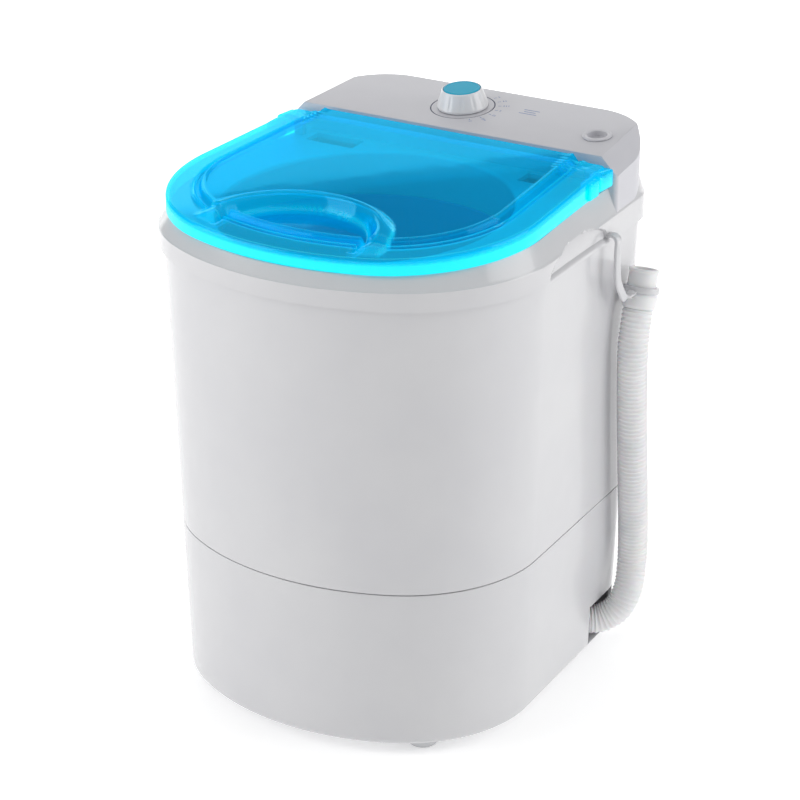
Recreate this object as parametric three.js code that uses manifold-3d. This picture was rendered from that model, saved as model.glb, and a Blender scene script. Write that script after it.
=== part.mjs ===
// Compact top load washing machine. Millimetres, +Z up, front towards -Y.
import * as THREE from 'three';
import { mergeVertices } from 'three/addons/utils/BufferGeometryUtils.js';
import Module from 'manifold-3d';

const wasm = await Module();
wasm.setup();

// ---- body outline and levels
const bodyWidth = 360;
const bodyDepth = 380;
const bowRadius = 235;
const cornerRadius = 134;
const rearRadius = 45;
const sideLean = THREE.MathUtils.degToRad(5.3);
const draft = 0.0277;
const floorGap = 10;
const baseHeight = 147.5;
const seamGap = 0.8;
const casingHeight = 260;
const skirtHeight = 15.6;
const deckRise = 10.9;
const beadSlope = 0.017;
const deckSlope = 0.07;
const fit = 0.3;

// ---- walls
const baseWall = 3;
const casingWall = 2.5;
const frameWall = 3;
const skirtStandOff = 4;
const deckInset = 6;

// ---- tub and drive
const tubRadius = 128;
const tubFloorRadius = 121;
const tubWall = 2.5;
const tubDepth = 249;
const tubBack = 3.5;
const collarDrop = 22;
const recessRadius = 82;
const recessDepth = 14;
const pulsatorRadius = 78;
const finCount = 6;
const shaftRadius = 6;
const housingRadius = 20;
const housingLength = 78;
const drivenGroove = 54;
const motorGroove = 14;
const beltThickness = 4;
const beltHeight = 8;
const beltSlack = 0.12;
const motorRadius = 46;
const motorHeight = 62;
const motorShaftRadius = 4;
const motorSpot = new THREE.Vector2(-88, 74);

// ---- lid
const lidWidth = 349;
const lidBowRadius = 282;
const lidCornerRadius = 128;
const lidLean = THREE.MathUtils.degToRad(4.2);
const lidHeight = 13.4;
const lidWall = 3;
const lidFlange = 27;
const lidSwell = 0.0016;
const panelRise = 3.6;
const lidClearance = 0.5;
const pocketWidth = 186;
const pocketReach = 77;
const pocketLip = 34;
const pocketFloor = 7.5;
const earLength = 11;
const earStandOut = 5;
const earRun = 16;
const hingeSetback = 16;
const hingeLift = 14.1;
const pinRadius = 2;

// ---- control panel
const consoleDepth = 93;
const consoleFront = 24.5;
const panelSlope = 0.115;
const panelWall = 2.5;
const endChamfer = 16;
const consoleCorner = 62;
const knobRadius = 23.7;
const knobTaper = 5.2;
const knobHeight = 18;
const timerShaftRadius = 3;
const portRadius = 10;

// ---- drain
const pipeRadius = 10.5;
const pipeBore = 8;
const hoseDiameter = 28;
const windowLength = 62;
const windowHeight = 39;

// ---- derived levels
const baseBottom = floorGap;
const seam = baseBottom + baseHeight;
const rim = seam + seamGap + casingHeight;
const casingTop = rim + 11;
const bodyFront = -bodyDepth / 2;
const bodyRear = bodyDepth / 2;
const lidFront = bodyFront + deckInset;
const consoleStart = bodyRear - consoleDepth;
const beadAt = (y) => rim + skirtHeight + beadSlope * (y - bodyFront);
const deckAt = (y) => rim + skirtHeight + deckRise + deckSlope * (y - lidFront);
const shelf = deckAt(consoleStart);
const panelAt = (y) => shelf + consoleFront + panelSlope * (y - consoleStart);
const tubCentre = (lidFront + consoleStart) / 2 + tubBack;
const tubTop = deckAt(lidFront) - collarDrop;
const tubFloor = tubTop - tubDepth;
const recessFloor = tubFloor - recessDepth;
const recessUnder = recessFloor - tubWall;
const floorTop = baseBottom + baseWall + 0.5;
const hinge = new THREE.Vector2(consoleStart - hingeSetback, deckAt(consoleStart - hingeSetback) + hingeLift);

// ---- outlines
const bodyPlan = {
  halfWidth: bodyWidth / 2, front: bodyFront, rear: bodyRear,
  bow: bowRadius, corner: cornerRadius, rearCorner: rearRadius, lean: sideLean,
};
const lidPlan = {
  halfWidth: lidWidth / 2 + (bodyWidth - 360) / 2, front: lidFront, rear: hinge.x + 8,
  bow: lidBowRadius, corner: lidCornerRadius, rearCorner: 8, lean: lidLean,
};

function corners(plan) {
  const bowY = plan.front + plan.bow;
  const x = plan.halfWidth - plan.corner;
  const y = bowY - Math.sqrt((plan.bow - plan.corner) ** 2 - x * x);
  const reach = x * Math.cos(plan.lean) + y * Math.sin(plan.lean) + plan.corner;
  return { bowY, x, y, reach, turn: Math.atan2(y - bowY, x) };
}

// Half width of the side wall at depth y.
function sideAt(plan, y) {
  return (corners(plan).reach - y * Math.sin(plan.lean)) / Math.cos(plan.lean);
}

function planShape(plan, offset = 0) {
  const c = corners(plan);
  const rearR = Math.max(plan.rearCorner + offset, 1);
  const rearY = plan.rear + offset - rearR;
  const rearX = (c.reach + offset - rearR - rearY * Math.sin(plan.lean)) / Math.cos(plan.lean);
  const right = Math.PI;
  const shape = new THREE.Shape();
  shape.absarc(0, c.bowY, plan.bow + offset, -right - c.turn, c.turn, false);
  shape.absarc(c.x, c.y, plan.corner + offset, c.turn, plan.lean, false);
  shape.absarc(rearX, rearY, rearR, plan.lean, right / 2, false);
  shape.absarc(-rearX, rearY, rearR, right / 2, right - plan.lean, false);
  shape.absarc(-c.x, c.y, plan.corner + offset, right - plan.lean, 2 * right - right - c.turn, false);
  shape.closePath();
  return shape;
}

// ---- solids
function prism(shape, low, high, bevel = 0, segments = 4) {
  const geometry = new THREE.ExtrudeGeometry(shape, {
    depth: high - low - 2 * bevel, curveSegments: segments, steps: 1, bevelEnabled: bevel > 0,
    bevelThickness: bevel, bevelSize: bevel, bevelOffset: -bevel, bevelSegments: 1,
  });
  return geometry.translate(0, 0, low + bevel);
}

function block(x0, x1, y0, y1, z0, z1) {
  const geometry = new THREE.BoxGeometry(x1 - x0, y1 - y0, z1 - z0);
  return geometry.translate((x0 + x1) / 2, (y0 + y1) / 2, (z0 + z1) / 2);
}

function rod(radius, low, high, segments = 24) {
  const geometry = new THREE.CylinderGeometry(radius, radius, high - low, segments);
  return geometry.rotateX(Math.PI / 2).translate(0, 0, (low + high) / 2);
}

function turned(profile, segments = 32) {
  const points = profile.map(([r, z]) => new THREE.Vector2(r, z));
  return new THREE.LatheGeometry(points, segments).rotateX(Math.PI / 2);
}

function ring(inner, outer, low, high, segments = 32) {
  return turned([[inner, low], [outer, low], [outer, high], [inner, high], [inner, low]], segments);
}

function moved(geometry, x, y, z = 0) {
  return geometry.clone().translate(x, y, z);
}

function reshape(geometry, map) {
  const position = geometry.attributes.position;
  for (let i = 0; i < position.count; i++) {
    const p = map(position.getX(i), position.getY(i), position.getZ(i));
    position.setXYZ(i, p[0], p[1], p[2]);
  }
  return geometry;
}

// The body narrows downwards by the draft.
function scaleAt(z) {
  return 1 - draft * Math.max(casingTop - z, 0) / (bodyWidth / 2);
}

function tapered(geometry) {
  return reshape(geometry, (x, y, z) => [x * scaleAt(z), y * scaleAt(z), z]);
}

// A band that runs from one offset and level to another, both levels following y.
function band(low, lowAt, high, highAt) {
  const shrinkX = (bodyWidth / 2 + high) / (bodyWidth / 2 + low);
  const shrinkY = (bodyDepth / 2 + high) / (bodyDepth / 2 + low);
  return reshape(prism(planShape(bodyPlan, low), 0, 1), (x, y, z) => [
    x * (1 + (shrinkX - 1) * z), y * (1 + (shrinkY - 1) * z), lowAt(y) + (highAt(y) - lowAt(y)) * z,
  ]);
}

function toSolid(geometry) {
  const plain = geometry.clone();
  plain.deleteAttribute('normal');
  plain.deleteAttribute('uv');
  const merged = mergeVertices(plain, 1e-4);
  return new wasm.Manifold(new wasm.Mesh({
    numProp: 3,
    vertProperties: new Float32Array(merged.attributes.position.array),
    triVerts: new Uint32Array(merged.index.array),
  }));
}

function toGeometry(solid) {
  const mesh = solid.getMesh();
  const geometry = new THREE.BufferGeometry();
  geometry.setAttribute('position', new THREE.BufferAttribute(new Float32Array(mesh.vertProperties), 3));
  geometry.setIndex(new THREE.BufferAttribute(new Uint32Array(mesh.triVerts), 1));
  geometry.computeVertexNormals();
  return geometry;
}

function join(...parts) {
  return toGeometry(parts.map(toSolid).reduce((a, b) => a.add(b)));
}

function cut(body, ...tools) {
  return toGeometry(tools.map(toSolid).reduce((a, b) => a.subtract(b), toSolid(body)));
}

function common(a, b) {
  return toGeometry(toSolid(a).intersect(toSolid(b)));
}

function roundedRect(width, height, radius) {
  const x = width / 2 - radius;
  const y = height / 2 - radius;
  const shape = new THREE.Shape();
  shape.absarc(x, y, radius, 0, Math.PI / 2, false);
  shape.absarc(-x, y, radius, Math.PI / 2, Math.PI, false);
  shape.absarc(-x, -y, radius, Math.PI, Math.PI * 1.5, false);
  shape.absarc(x, -y, radius, Math.PI * 1.5, Math.PI * 2, false);
  shape.closePath();
  return shape;
}

// Outline of a loop drawn round two circles.
function loopShape(a, radiusA, b, radiusB) {
  const along = Math.atan2(b.y - a.y, b.x - a.x);
  const open = Math.acos((radiusA - radiusB) / a.distanceTo(b));
  const shape = new THREE.Shape();
  shape.absarc(a.x, a.y, radiusA, along + open, along - open + 2 * Math.PI, false);
  shape.absarc(b.x, b.y, radiusB, along - open, along + open, false);
  shape.closePath();
  return shape;
}

function circleShape(radius) {
  const shape = new THREE.Shape();
  shape.absarc(0, 0, radius, 0, Math.PI * 2, false);
  return shape;
}

function sweep(points, section, steps, sides = 5) {
  const path = new THREE.CatmullRomCurve3(points, false, 'centripetal');
  return new THREE.ExtrudeGeometry(section, { steps, extrudePath: path, curveSegments: sides });
}

function screw(shank, length) {
  return turned([[0, -length], [shank, -length], [shank, 0], [shank * 2, 0], [shank * 1.6, 2], [0, 2]], 8);
}

// ---- lower body
const footSpots = [[-1, -1], [1, -1], [-1, 1], [1, 1]].map(([sx, sy]) => [
  sx * (bodyWidth / 2 - 69), sy > 0 ? bodyRear - 54 : bodyFront + 73,
]);
const footStem = 4;
const footRadius = 20;
const coverWidth = 170;
const coverDepth = 150;
const coverScrews = [[-1, -1], [1, -1], [-1, 1], [1, 1]].map(([sx, sy]) => [
  sx * (coverWidth / 2 - 9), tubCentre + 14 + sy * (coverDepth / 2 - 9),
]);
const windowStart = bodyRear - 92;
const glandSpot = [-70, baseBottom + 50];

function baseShell() {
  const outer = cut(
    prism(planShape(bodyPlan), baseBottom, seam + 12, 6),
    block(-bodyWidth, bodyWidth, -bodyDepth, bodyDepth, seam, seam + 20),
  );
  const hollow = prism(planShape(bodyPlan, -baseWall), floorTop, seam + 1);
  const lip = cut(
    prism(planShape(bodyPlan, -casingWall - 0.4), seam - 9, seam + 10),
    prism(planShape(bodyPlan, -casingWall - 2.9), seam - 10, seam + 11),
  );
  const walls = tapered(join(cut(outer, hollow), lip));
  const service = moved(prism(roundedRect(coverWidth - 34, coverDepth - 34, 12), baseBottom - 1, floorTop + 1),
    0, tubCentre + 14);
  const hoseWindow = block(bodyWidth / 2 - 60, bodyWidth, windowStart, windowStart + windowLength,
    floorTop, floorTop + windowHeight);
  const stems = footSpots.map(([x, y]) => moved(rod(footStem + fit, 0, 30, 12), x, y));
  const screws = coverScrews.map(([x, y]) => moved(rod(1.5 + fit, 0, 30, 10), x, y));
  const gland = moved(rod(5 + fit, 0, 40, 16).rotateX(-Math.PI / 2), glandSpot[0], bodyRear - 30, glandSpot[1]);
  return cut(walls, service, hoseWindow, gland, ...stems, ...screws);
}

function bottomCover() {
  const plate = moved(prism(roundedRect(coverWidth, coverDepth, 16), baseBottom - fit - 2, baseBottom - fit),
    0, tubCentre + 14);
  const vents = [-3, -2, -1, 0, 1, 2, 3].map((i) => block(
    i * 14 - 2.5, i * 14 + 2.5, tubCentre - 26, tubCentre + 54, 0, baseBottom + 1,
  ));
  const holes = coverScrews.map(([x, y]) => moved(rod(1.5 + fit, 0, 30, 10), x, y));
  return cut(plate, ...vents, ...holes);
}

function foot() {
  return turned([[0, 0], [footRadius * 0.65, 0], [footRadius, baseBottom - fit], [footStem, baseBottom - fit],
    [footStem, floorTop + 6], [0, floorTop + 6]], 16);
}

function cordGland() {
  const wall = (bodyRear) * scaleAt(glandSpot[1]);
  return moved(turned([[0, -12], [5, -12], [5, fit], [9, fit], [9, 3], [6, 9], [0, 9]], 16).rotateX(-Math.PI / 2),
    glandSpot[0], wall + 1, glandSpot[1]);
}

// ---- upper body
const scoopSpan = 118;
const scoopRise = 21;
const scoopCentre = 22;
const scoopDepth = 14;
const scoopWall = 2;
const rearCoverWidth = 170;
const rearCoverHeight = 190;
const rearCoverZ = (seam + rim) / 2;
const rearScrews = [[-1, -1], [1, -1], [-1, 1], [1, 1]].map(([sx, sz]) => [
  sx * (rearCoverWidth / 2 - 8), rearCoverZ + sz * (rearCoverHeight / 2 - 8),
]);

// Lens outline of a hand hold: flat below, arched above.
function lensShape(grow) {
  const half = scoopSpan / 2;
  const radius = (half * half + scoopRise * scoopRise) / (2 * scoopRise) + grow;
  const centre = scoopRise + grow - radius;
  const open = Math.acos((-grow - centre) / radius);
  const shape = new THREE.Shape();
  shape.absarc(0, centre, radius, Math.PI / 2 - open, Math.PI / 2 + open, false);
  shape.closePath();
  return shape;
}

function scoop(side, grow, inward, outward) {
  const lens = new THREE.ExtrudeGeometry(lensShape(grow), { depth: 1, curveSegments: 5, bevelEnabled: false });
  const right = reshape(lens.rotateX(Math.PI / 2).rotateZ(Math.PI / 2), (w, u, v) => {
    const wall = sideAt(bodyPlan, scoopCentre + u);
    return [w < 0.5 ? wall - inward : wall + outward, scoopCentre + u, rim + scoopWall + 0.7 + v];
  });
  return side > 0 ? right : mirrored(right);
}

function rearPlate(width, height, thickness, gap, radius) {
  const tilt = Math.atan(bodyDepth / 2 * draft / (bodyWidth / 2));
  return prism(roundedRect(width, height, radius), gap, gap + thickness)
    .rotateX(-Math.PI / 2 - tilt)
    .translate(0, bodyRear * scaleAt(rearCoverZ), rearCoverZ);
}

function casing() {
  const shell = tapered(cut(
    prism(planShape(bodyPlan), seam + seamGap, casingTop),
    prism(planShape(bodyPlan, -casingWall), seam, casingTop + 1),
  ));
  const notches = [-1, 1].map((side) => {
    const x = bodyWidth / 2 - 40;
    const half = scoopSpan / 2 + 12;
    return block(Math.min(side * x, side * bodyWidth), Math.max(side * x, side * bodyWidth),
      scoopCentre - half, scoopCentre + half, rim, casingTop + 5);
  });
  const service = rearPlate(rearCoverWidth - 32, rearCoverHeight - 32, 12, -8, 10);
  const screws = rearScrews.map(([x, z]) => moved(rod(1.5 + fit, -20, 20, 10).rotateX(-Math.PI / 2), x, bodyRear, z));
  return cut(shell, ...notches, service, ...screws);
}

function rearCover() {
  const screws = rearScrews.map(([x, z]) => moved(rod(1.5 + fit, -20, 20, 10).rotateX(-Math.PI / 2), x, bodyRear, z));
  return cut(rearPlate(rearCoverWidth, rearCoverHeight, 1.6, fit, 14), ...screws);
}

// ---- top frame, with deck, mouth, hinge lugs and hand holds
const deckPockets = [[-140, -88], [86, 104]];
const pocketDeep = 12;
const pocketFront = consoleStart - 27;
const pocketRear = consoleStart - 7;
const lugRadius = 3.2;
const lugThickness = 10;
const earOuter = sideAt(lidPlan, hinge.x) + earStandOut;
const earInner = earOuter - earLength;
const lugOuter = earInner - 1;

function hingeLug(side) {
  const low = deckAt(hinge.x) - 2;
  const web = block(lugOuter - lugThickness, lugOuter, hinge.x - lugRadius, hinge.x + lugRadius, low, hinge.y);
  const eye = rod(lugRadius, lugOuter - lugThickness, lugOuter, 16).rotateY(Math.PI / 2);
  const lug = join(web, moved(eye, 0, hinge.x, hinge.y));
  return side > 0 ? lug : mirrored(lug);
}

// The left hand copy of a right hand piece, with its faces turned the right way out.
function mirrored(geometry) {
  const source = geometry.index ? geometry.toNonIndexed() : geometry.clone();
  const from = source.attributes.position;
  const points = [];
  for (let i = 0; i < from.count; i += 3) {
    [i, i + 2, i + 1].forEach((k) => points.push(-from.getX(k), from.getY(k), from.getZ(k)));
  }
  const copy = new THREE.BufferGeometry();
  copy.setAttribute('position', new THREE.Float32BufferAttribute(points, 3));
  return mergeVertices(copy, 1e-4);
}

function pinBore(radius) {
  return moved(rod(radius, -bodyWidth, bodyWidth, 12).rotateY(Math.PI / 2), 0, hinge.x, hinge.y);
}

function topFrame() {
  const under = (y) => deckAt(y) - frameWall;
  const beadUnder = (y) => beadAt(y) - 2;
  const skirt = band(skirtStandOff, () => rim, skirtStandOff, beadAt);
  const slope = band(skirtStandOff, (y) => beadAt(y) - 0.5, -deckInset, deckAt);
  const rearBlock = common(
    band(skirtStandOff, (y) => beadAt(y) - 1, skirtStandOff - 1, () => shelf),
    block(-bodyWidth, bodyWidth, consoleStart - 1, bodyDepth, rim, shelf + 50),
  );
  const rearHollow = common(
    band(fit, (y) => beadAt(y) - 4, fit - 1, () => shelf - frameWall),
    block(-bodyWidth, bodyWidth, consoleStart + 3, bodyDepth, rim, shelf + 50),
  );
  const lowHollow = band(fit + 0.2, () => rim - 1, fit + 0.2, beadUnder);
  const highHollow = band(fit + 0.2, (y) => beadUnder(y) - 1, -deckInset - frameWall, under);
  const pockets = [-1, 1].map((side) => scoop(side, scoopWall, scoopDepth + scoopWall, -1.5));
  const voids = [-1, 1].map((side) => scoop(side, 0, scoopDepth, 40));
  const trays = deckPockets.map(([x0, x1]) => block(x0 - 2, x1 + 2, pocketFront - 2, pocketRear + 2,
    shelf - pocketDeep - 5, shelf - 3));
  const trayVoids = deckPockets.map(([x0, x1]) => block(x0, x1, pocketFront, pocketRear,
    shelf - pocketDeep - 3, shelf + 10));
  const shell = cut(join(cut(join(skirt, slope, rearBlock), lowHollow, highHollow, rearHollow), ...trays), ...trayVoids);
  const collar = common(
    moved(rod(tubRadius + 4, tubTop + fit, shelf + 30, 36), 0, tubCentre),
    reshape(prism(planShape(bodyPlan, -deckInset), 0, 1), (x, y, z) => [x, y, z < 0.5 ? rim : deckAt(y) - 0.5]),
  );
  const mouth = moved(rod(tubRadius + 0.5, rim - 20, shelf + 60, 36), 0, tubCentre);
  const timerGap = block(-60, 45, consoleStart + 8, bodyRear - 4, shelf - 10, shelf + 10);
  const aboveShelf = block(-bodyWidth, bodyWidth, consoleStart - 1, bodyDepth, shelf, shelf + 60);
  const portGap = block(108, 140, consoleStart + 8, bodyRear - 24, shelf - 10, shelf + 10);
  const earGap = [-1, 1].map((side) => {
    const inner = earInner - 0.9;
    return block(side > 0 ? inner : -bodyWidth, side > 0 ? bodyWidth : -inner,
      hinge.x - 22, consoleStart - 0.5, hinge.y - 16, shelf + 60);
  });
  const lugs = [hingeLug(-1), hingeLug(1)];
  const deck = cut(join(shell, ...pockets, collar), mouth, timerGap, portGap, aboveShelf, ...earGap, ...voids);
  return cut(join(deck, ...lugs), pinBore(pinRadius + fit));
}

// ---- lid, drawn flat, then laid along the deck and made thicker towards the hinge
function lidAt(y) {
  return deckAt(y) + lidClearance;
}

function sheared(geometry) {
  return reshape(geometry, (x, y, z) => [x, y, z * (1 + lidSwell * (y - lidFront)) + lidAt(y)]);
}

function archShape(offset) {
  const centre = lidFront + 34;
  const half = pocketWidth / 2 + offset;
  const shape = new THREE.Shape();
  shape.moveTo(half, lidFront);
  shape.lineTo(half, centre);
  shape.absellipse(0, centre, half, pocketReach + offset, 0, Math.PI, false);
  shape.lineTo(-half, lidFront);
  shape.closePath();
  return shape;
}

function lid() {
  const under = lidHeight - lidWall;
  const panelPlan = { ...lidPlan, front: lidPlan.front + lidFlange, halfWidth: lidPlan.halfWidth - lidFlange,
    bow: lidBowRadius - lidFlange, corner: lidCornerRadius - lidFlange, rear: lidPlan.rear - 2, rearCorner: 6 };
  const shell = cut(
    prism(planShape(lidPlan), 0, lidHeight, 1.6),
    prism(planShape({ ...lidPlan, rear: lidPlan.rear + 20 }, -lidWall), -1, under),
  );
  const raised = prism(planShape(panelPlan), under, lidHeight + panelRise, 1.2);
  const raisedHollow = prism(planShape(panelPlan, -lidWall), under - 1, lidHeight + panelRise - lidWall);
  const dish = common(prism(archShape(lidWall), pocketFloor - lidWall, lidHeight + panelRise - 1.4),
    prism(planShape(lidPlan, lidWall - pocketLip), 0, lidHeight - 1));
  const dishWall = common(prism(archShape(lidWall), under, lidHeight + panelRise - 1.4),
    prism(planShape(panelPlan, -1), 0, 30));
  const dishVoid = common(prism(archShape(0), pocketFloor, lidHeight + panelRise + 1),
    prism(planShape(lidPlan, -pocketLip), 0, 30));
  const top = sheared(cut(join(cut(join(shell, raised), raisedHollow), dish, dishWall), dishVoid));
  const ears = [-1, 1].map((side) => block(
    side > 0 ? earInner : -earOuter, side > 0 ? earOuter : -earInner,
    hinge.x - 14, hinge.x + 11, hinge.y - 11.5, hinge.y + 4.5,
  ));
  const lugRoom = block(lugOuter - lugThickness - 0.6, lugOuter + 0.6, hinge.x - 4.4, hinge.x + 20,
    hinge.y - 30, hinge.y + lugRadius + 0.6);
  const wings = [-1, 1].map((side) => sheared(block(
    side > 0 ? earInner : -earOuter, side > 0 ? earOuter : -earInner, hinge.x - earRun, hinge.x + 3, 0.5, lidHeight - 0.4,
  )));
  const rearTrim = block(-earInner + 0.5, earInner - 0.5, hinge.x - 8, hinge.x + 20, hinge.y - 30, hinge.y - 10.5);
  return cut(join(cut(top, rearTrim, lugRoom, mirrored(lugRoom)), ...wings, ...ears), pinBore(pinRadius + fit));
}

function hingePin(side) {
  const from = lugOuter - lugThickness;
  const pin = rod(pinRadius, from, earOuter - 1, 12).rotateY(side * Math.PI / 2);
  return moved(pin, 0, hinge.x, hinge.y);
}

// ---- control panel, timer and inlet
const panelTilt = Math.atan(panelSlope);
const knobSpot = [-18, consoleStart + 50];
const portSpot = [bodyWidth / 2 - 51, consoleStart + 38];

// Carries a piece drawn round Z onto the sloping panel.
function onPanel(geometry, [x, y]) {
  return geometry.clone().rotateX(panelTilt).translate(x, y, panelAt(y));
}

function abovePanel(lift) {
  return reshape(block(-bodyWidth, bodyWidth, -bodyDepth, bodyDepth, 0, 100), (x, y, z) => [x, y, z + panelAt(y) + lift]);
}

function controlPanel() {
  const behind = block(-bodyWidth, bodyWidth, consoleStart, bodyDepth, shelf + fit, shelf + 90);
  const inside = block(-bodyWidth, bodyWidth, consoleStart + panelWall, bodyDepth, shelf - 5, shelf + 90);
  const plan = { ...bodyPlan, rearCorner: consoleCorner };
  const outer = common(prism(planShape(plan, skirtStandOff - 1), shelf + fit, shelf + 80), behind);
  const inner = common(prism(planShape(plan, skirtStandOff - 1 - panelWall), shelf - 1, shelf + 80), inside);
  const chamfers = (depth) => [-1, 1].map((side) => {
    const wedge = block(-60, 60, -bodyDepth, bodyDepth, 0, 60).rotateY(side * Math.PI / 4).rotateX(panelTilt);
    const y = (consoleStart + bodyRear) / 2;
    const x = sideAt(bodyPlan, y) + skirtStandOff - 1 - endChamfer / 2 - depth * Math.SQRT1_2;
    return wedge.rotateZ(side * sideLean).translate(side * x, y, panelAt(y) - endChamfer / 2 - depth * Math.SQRT1_2);
  });
  const shell = cut(
    cut(outer, abovePanel(0), ...chamfers(0)),
    cut(inner, abovePanel(-panelWall), ...chamfers(panelWall)),
  );
  return cut(shell, onPanel(rod(timerShaftRadius + 0.4, -20, 20, 16), knobSpot),
    onPanel(rod(portRadius + fit, -20, 20, 24), portSpot));
}

function timerBody() {
  return onPanel(turned([[0, -28], [21, -28], [21, -8], [16, -6], [16, -panelWall - fit], [5, -panelWall - fit],
    [5, -6], [0, -6]], 24), knobSpot);
}

function timerShaft() {
  return onPanel(rod(timerShaftRadius, -6 + fit, knobHeight - 6, 16), knobSpot);
}

function timerKnob() {
  const bore = timerShaftRadius + fit;
  const crown = knobRadius - knobTaper - 1;
  return onPanel(turned([[bore, 0.6], [knobRadius, 0.6], [crown + 1, knobHeight - 1], [crown, knobHeight],
    [crown - 0.5, knobHeight], [crown - 0.5, knobHeight - 2.5], [0, knobHeight - 2.5],
    [0, knobHeight - 5.5], [bore, knobHeight - 5.5], [bore, 0.6]], 32), knobSpot);
}

function knobCap() {
  const edge = knobRadius - knobTaper - 1.8;
  return onPanel(turned([[0, knobHeight - 2.2], [edge, knobHeight - 2.2], [edge, knobHeight],
    [edge - 1.2, knobHeight + 0.5], [0, knobHeight + 0.5]], 32), knobSpot);
}

function inletPort() {
  return onPanel(turned([[0, -9], [portRadius, -9], [portRadius, fit], [portRadius + 3.5, fit],
    [portRadius + 3.5, 1.2], [portRadius + 2.5, 1.8], [portRadius - 1.5, 1.8], [portRadius - 2, -4.5],
    [0, -4.5]], 28), portSpot);
}

// ---- tub and drive line
const sumpSpot = new THREE.Vector2(88, tubCentre + 42);

function washTub() {
  const wall = tubWall;
  const slopeIn = tubRadius - tubFloorRadius;
  const shell = turned([
    [shaftRadius + 2, recessUnder], [recessRadius + wall, recessUnder], [recessRadius + wall, tubFloor - wall],
    [tubFloorRadius - 6, tubFloor - wall], [tubFloorRadius + wall, tubFloor + 6],
    [tubFloorRadius + wall + slopeIn * 0.97, tubTop - wall], [tubRadius + 13, tubTop - wall],
    [tubRadius + 13, tubTop], [tubRadius, tubTop], [tubFloorRadius, tubFloor + 8], [tubFloorRadius - 8, tubFloor],
    [recessRadius, tubFloor], [recessRadius, recessFloor], [shaftRadius + 2, recessFloor],
    [shaftRadius + 2, recessUnder],
  ], 36);
  return cut(moved(shell, 0, tubCentre), moved(rod(pipeBore, tubFloor - 20, tubFloor + 20, 16), sumpSpot.x, sumpSpot.y));
}

function pulsator() {
  const floor = recessFloor + 2;
  const bore = shaftRadius + fit;
  const disc = turned([
    [bore, floor], [30, floor], [30, floor + 5], [pulsatorRadius - 8, floor + 7], [pulsatorRadius, floor + 5],
    [pulsatorRadius, floor + 9], [pulsatorRadius - 10, floor + 11.5], [26, floor + 14], [20, floor + 24],
    [4, floor + 26], [4, floor + 20], [bore, floor + 20], [bore, floor],
  ], 28);
  const fins = Array.from({ length: finCount }, (_, i) => {
    const fin = reshape(block(16, pulsatorRadius - 6, -1, 1, floor + 9, floor + 20), (x, y, z) => {
      const high = z > floor + 15;
      return [x, y * (high ? 3 : 7), high && x > 40 ? z - 4 : z];
    });
    return fin.rotateZ(i * 2 * Math.PI / finCount);
  });
  return moved(join(disc, ...fins), 0, tubCentre);
}

const pulsatorTop = recessFloor + 28;
const shaftTop = pulsatorTop - 6 - fit;
const housingTop = recessUnder - fit;
const housingEnd = housingTop - housingLength;
const bracketTop = housingTop - 6 - fit;
const pulleyTop = housingEnd - 4;
const pulleyHeight = 14;
const motorTop = bracketTop - 3 - fit;
const driveCentre = new THREE.Vector2(0, tubCentre);
const motorCentre = driveCentre.clone().add(motorSpot);
const driveRatio = (drivenGroove + beltThickness / 2) / (motorGroove + beltThickness / 2);

function pulsatorScrew() {
  return moved(turned([[0, shaftTop + fit], [3.5, shaftTop + fit], [3.5, pulsatorTop + fit], [8, pulsatorTop + fit],
    [7, pulsatorTop + 4], [0, pulsatorTop + 5]], 16), 0, tubCentre);
}

function driveShaft() {
  return moved(turned([[0, pulleyTop - pulleyHeight - 3], [shaftRadius, pulleyTop - pulleyHeight - 3],
    [shaftRadius, shaftTop], [0, shaftTop]], 20), 0, tubCentre);
}

function bearingHousing() {
  const bore = shaftRadius + 4;
  return moved(turned([[bore, housingEnd], [housingRadius, housingEnd], [housingRadius, housingTop - 6],
    [48, housingTop - 6], [48, housingTop], [bore, housingTop], [bore, housingEnd]], 32), 0, tubCentre);
}

function bush(low) {
  return moved(ring(shaftRadius + fit, shaftRadius + 4 - fit, low, low + 16, 20), 0, tubCentre);
}

function shaftSeal() {
  return moved(ring(shaftRadius + fit, shaftRadius + 2 - fit, recessUnder, recessFloor + 1.5, 20), 0, tubCentre);
}

function bracket() {
  const plate = prism(loopShape(driveCentre, 62, motorCentre, motorRadius + 8), bracketTop - 3, bracketTop, 0, 8);
  const holes = bracketScrews.map((p) => moved(rod(2 + fit, 0, rim, 10), p.x, p.y));
  return cut(plate, moved(rod(housingRadius + fit, 0, rim, 32), 0, tubCentre), ...holes,
    moved(rod(motorShaftRadius + 3, 0, rim, 16), motorCentre.x, motorCentre.y));
}

const bracketScrews = [0, 1, 2].map((i) => {
  const angle = (i * 120 - 50) * Math.PI / 180;
  return new THREE.Vector2(56 * Math.cos(angle), tubCentre + 56 * Math.sin(angle));
});

function motor() {
  const low = motorTop - motorHeight;
  const can = turned([[0, low], [18, low], [18, low + 6], [motorRadius - 6, low + 6], [motorRadius - 6, low + 16],
    [motorRadius, low + 16], [motorRadius, motorTop - 16], [motorRadius - 6, motorTop - 16],
    [motorRadius - 6, motorTop], [0, motorTop]], 24);
  return moved(cut(can, rod(motorShaftRadius + fit, low - 1, low + 30, 16)), motorCentre.x, motorCentre.y);
}

function motorShaft() {
  const low = motorTop - motorHeight;
  return moved(rod(motorShaftRadius, pulleyTop - pulleyHeight - 2, low + 30 - fit, 16), motorCentre.x, motorCentre.y);
}

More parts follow.
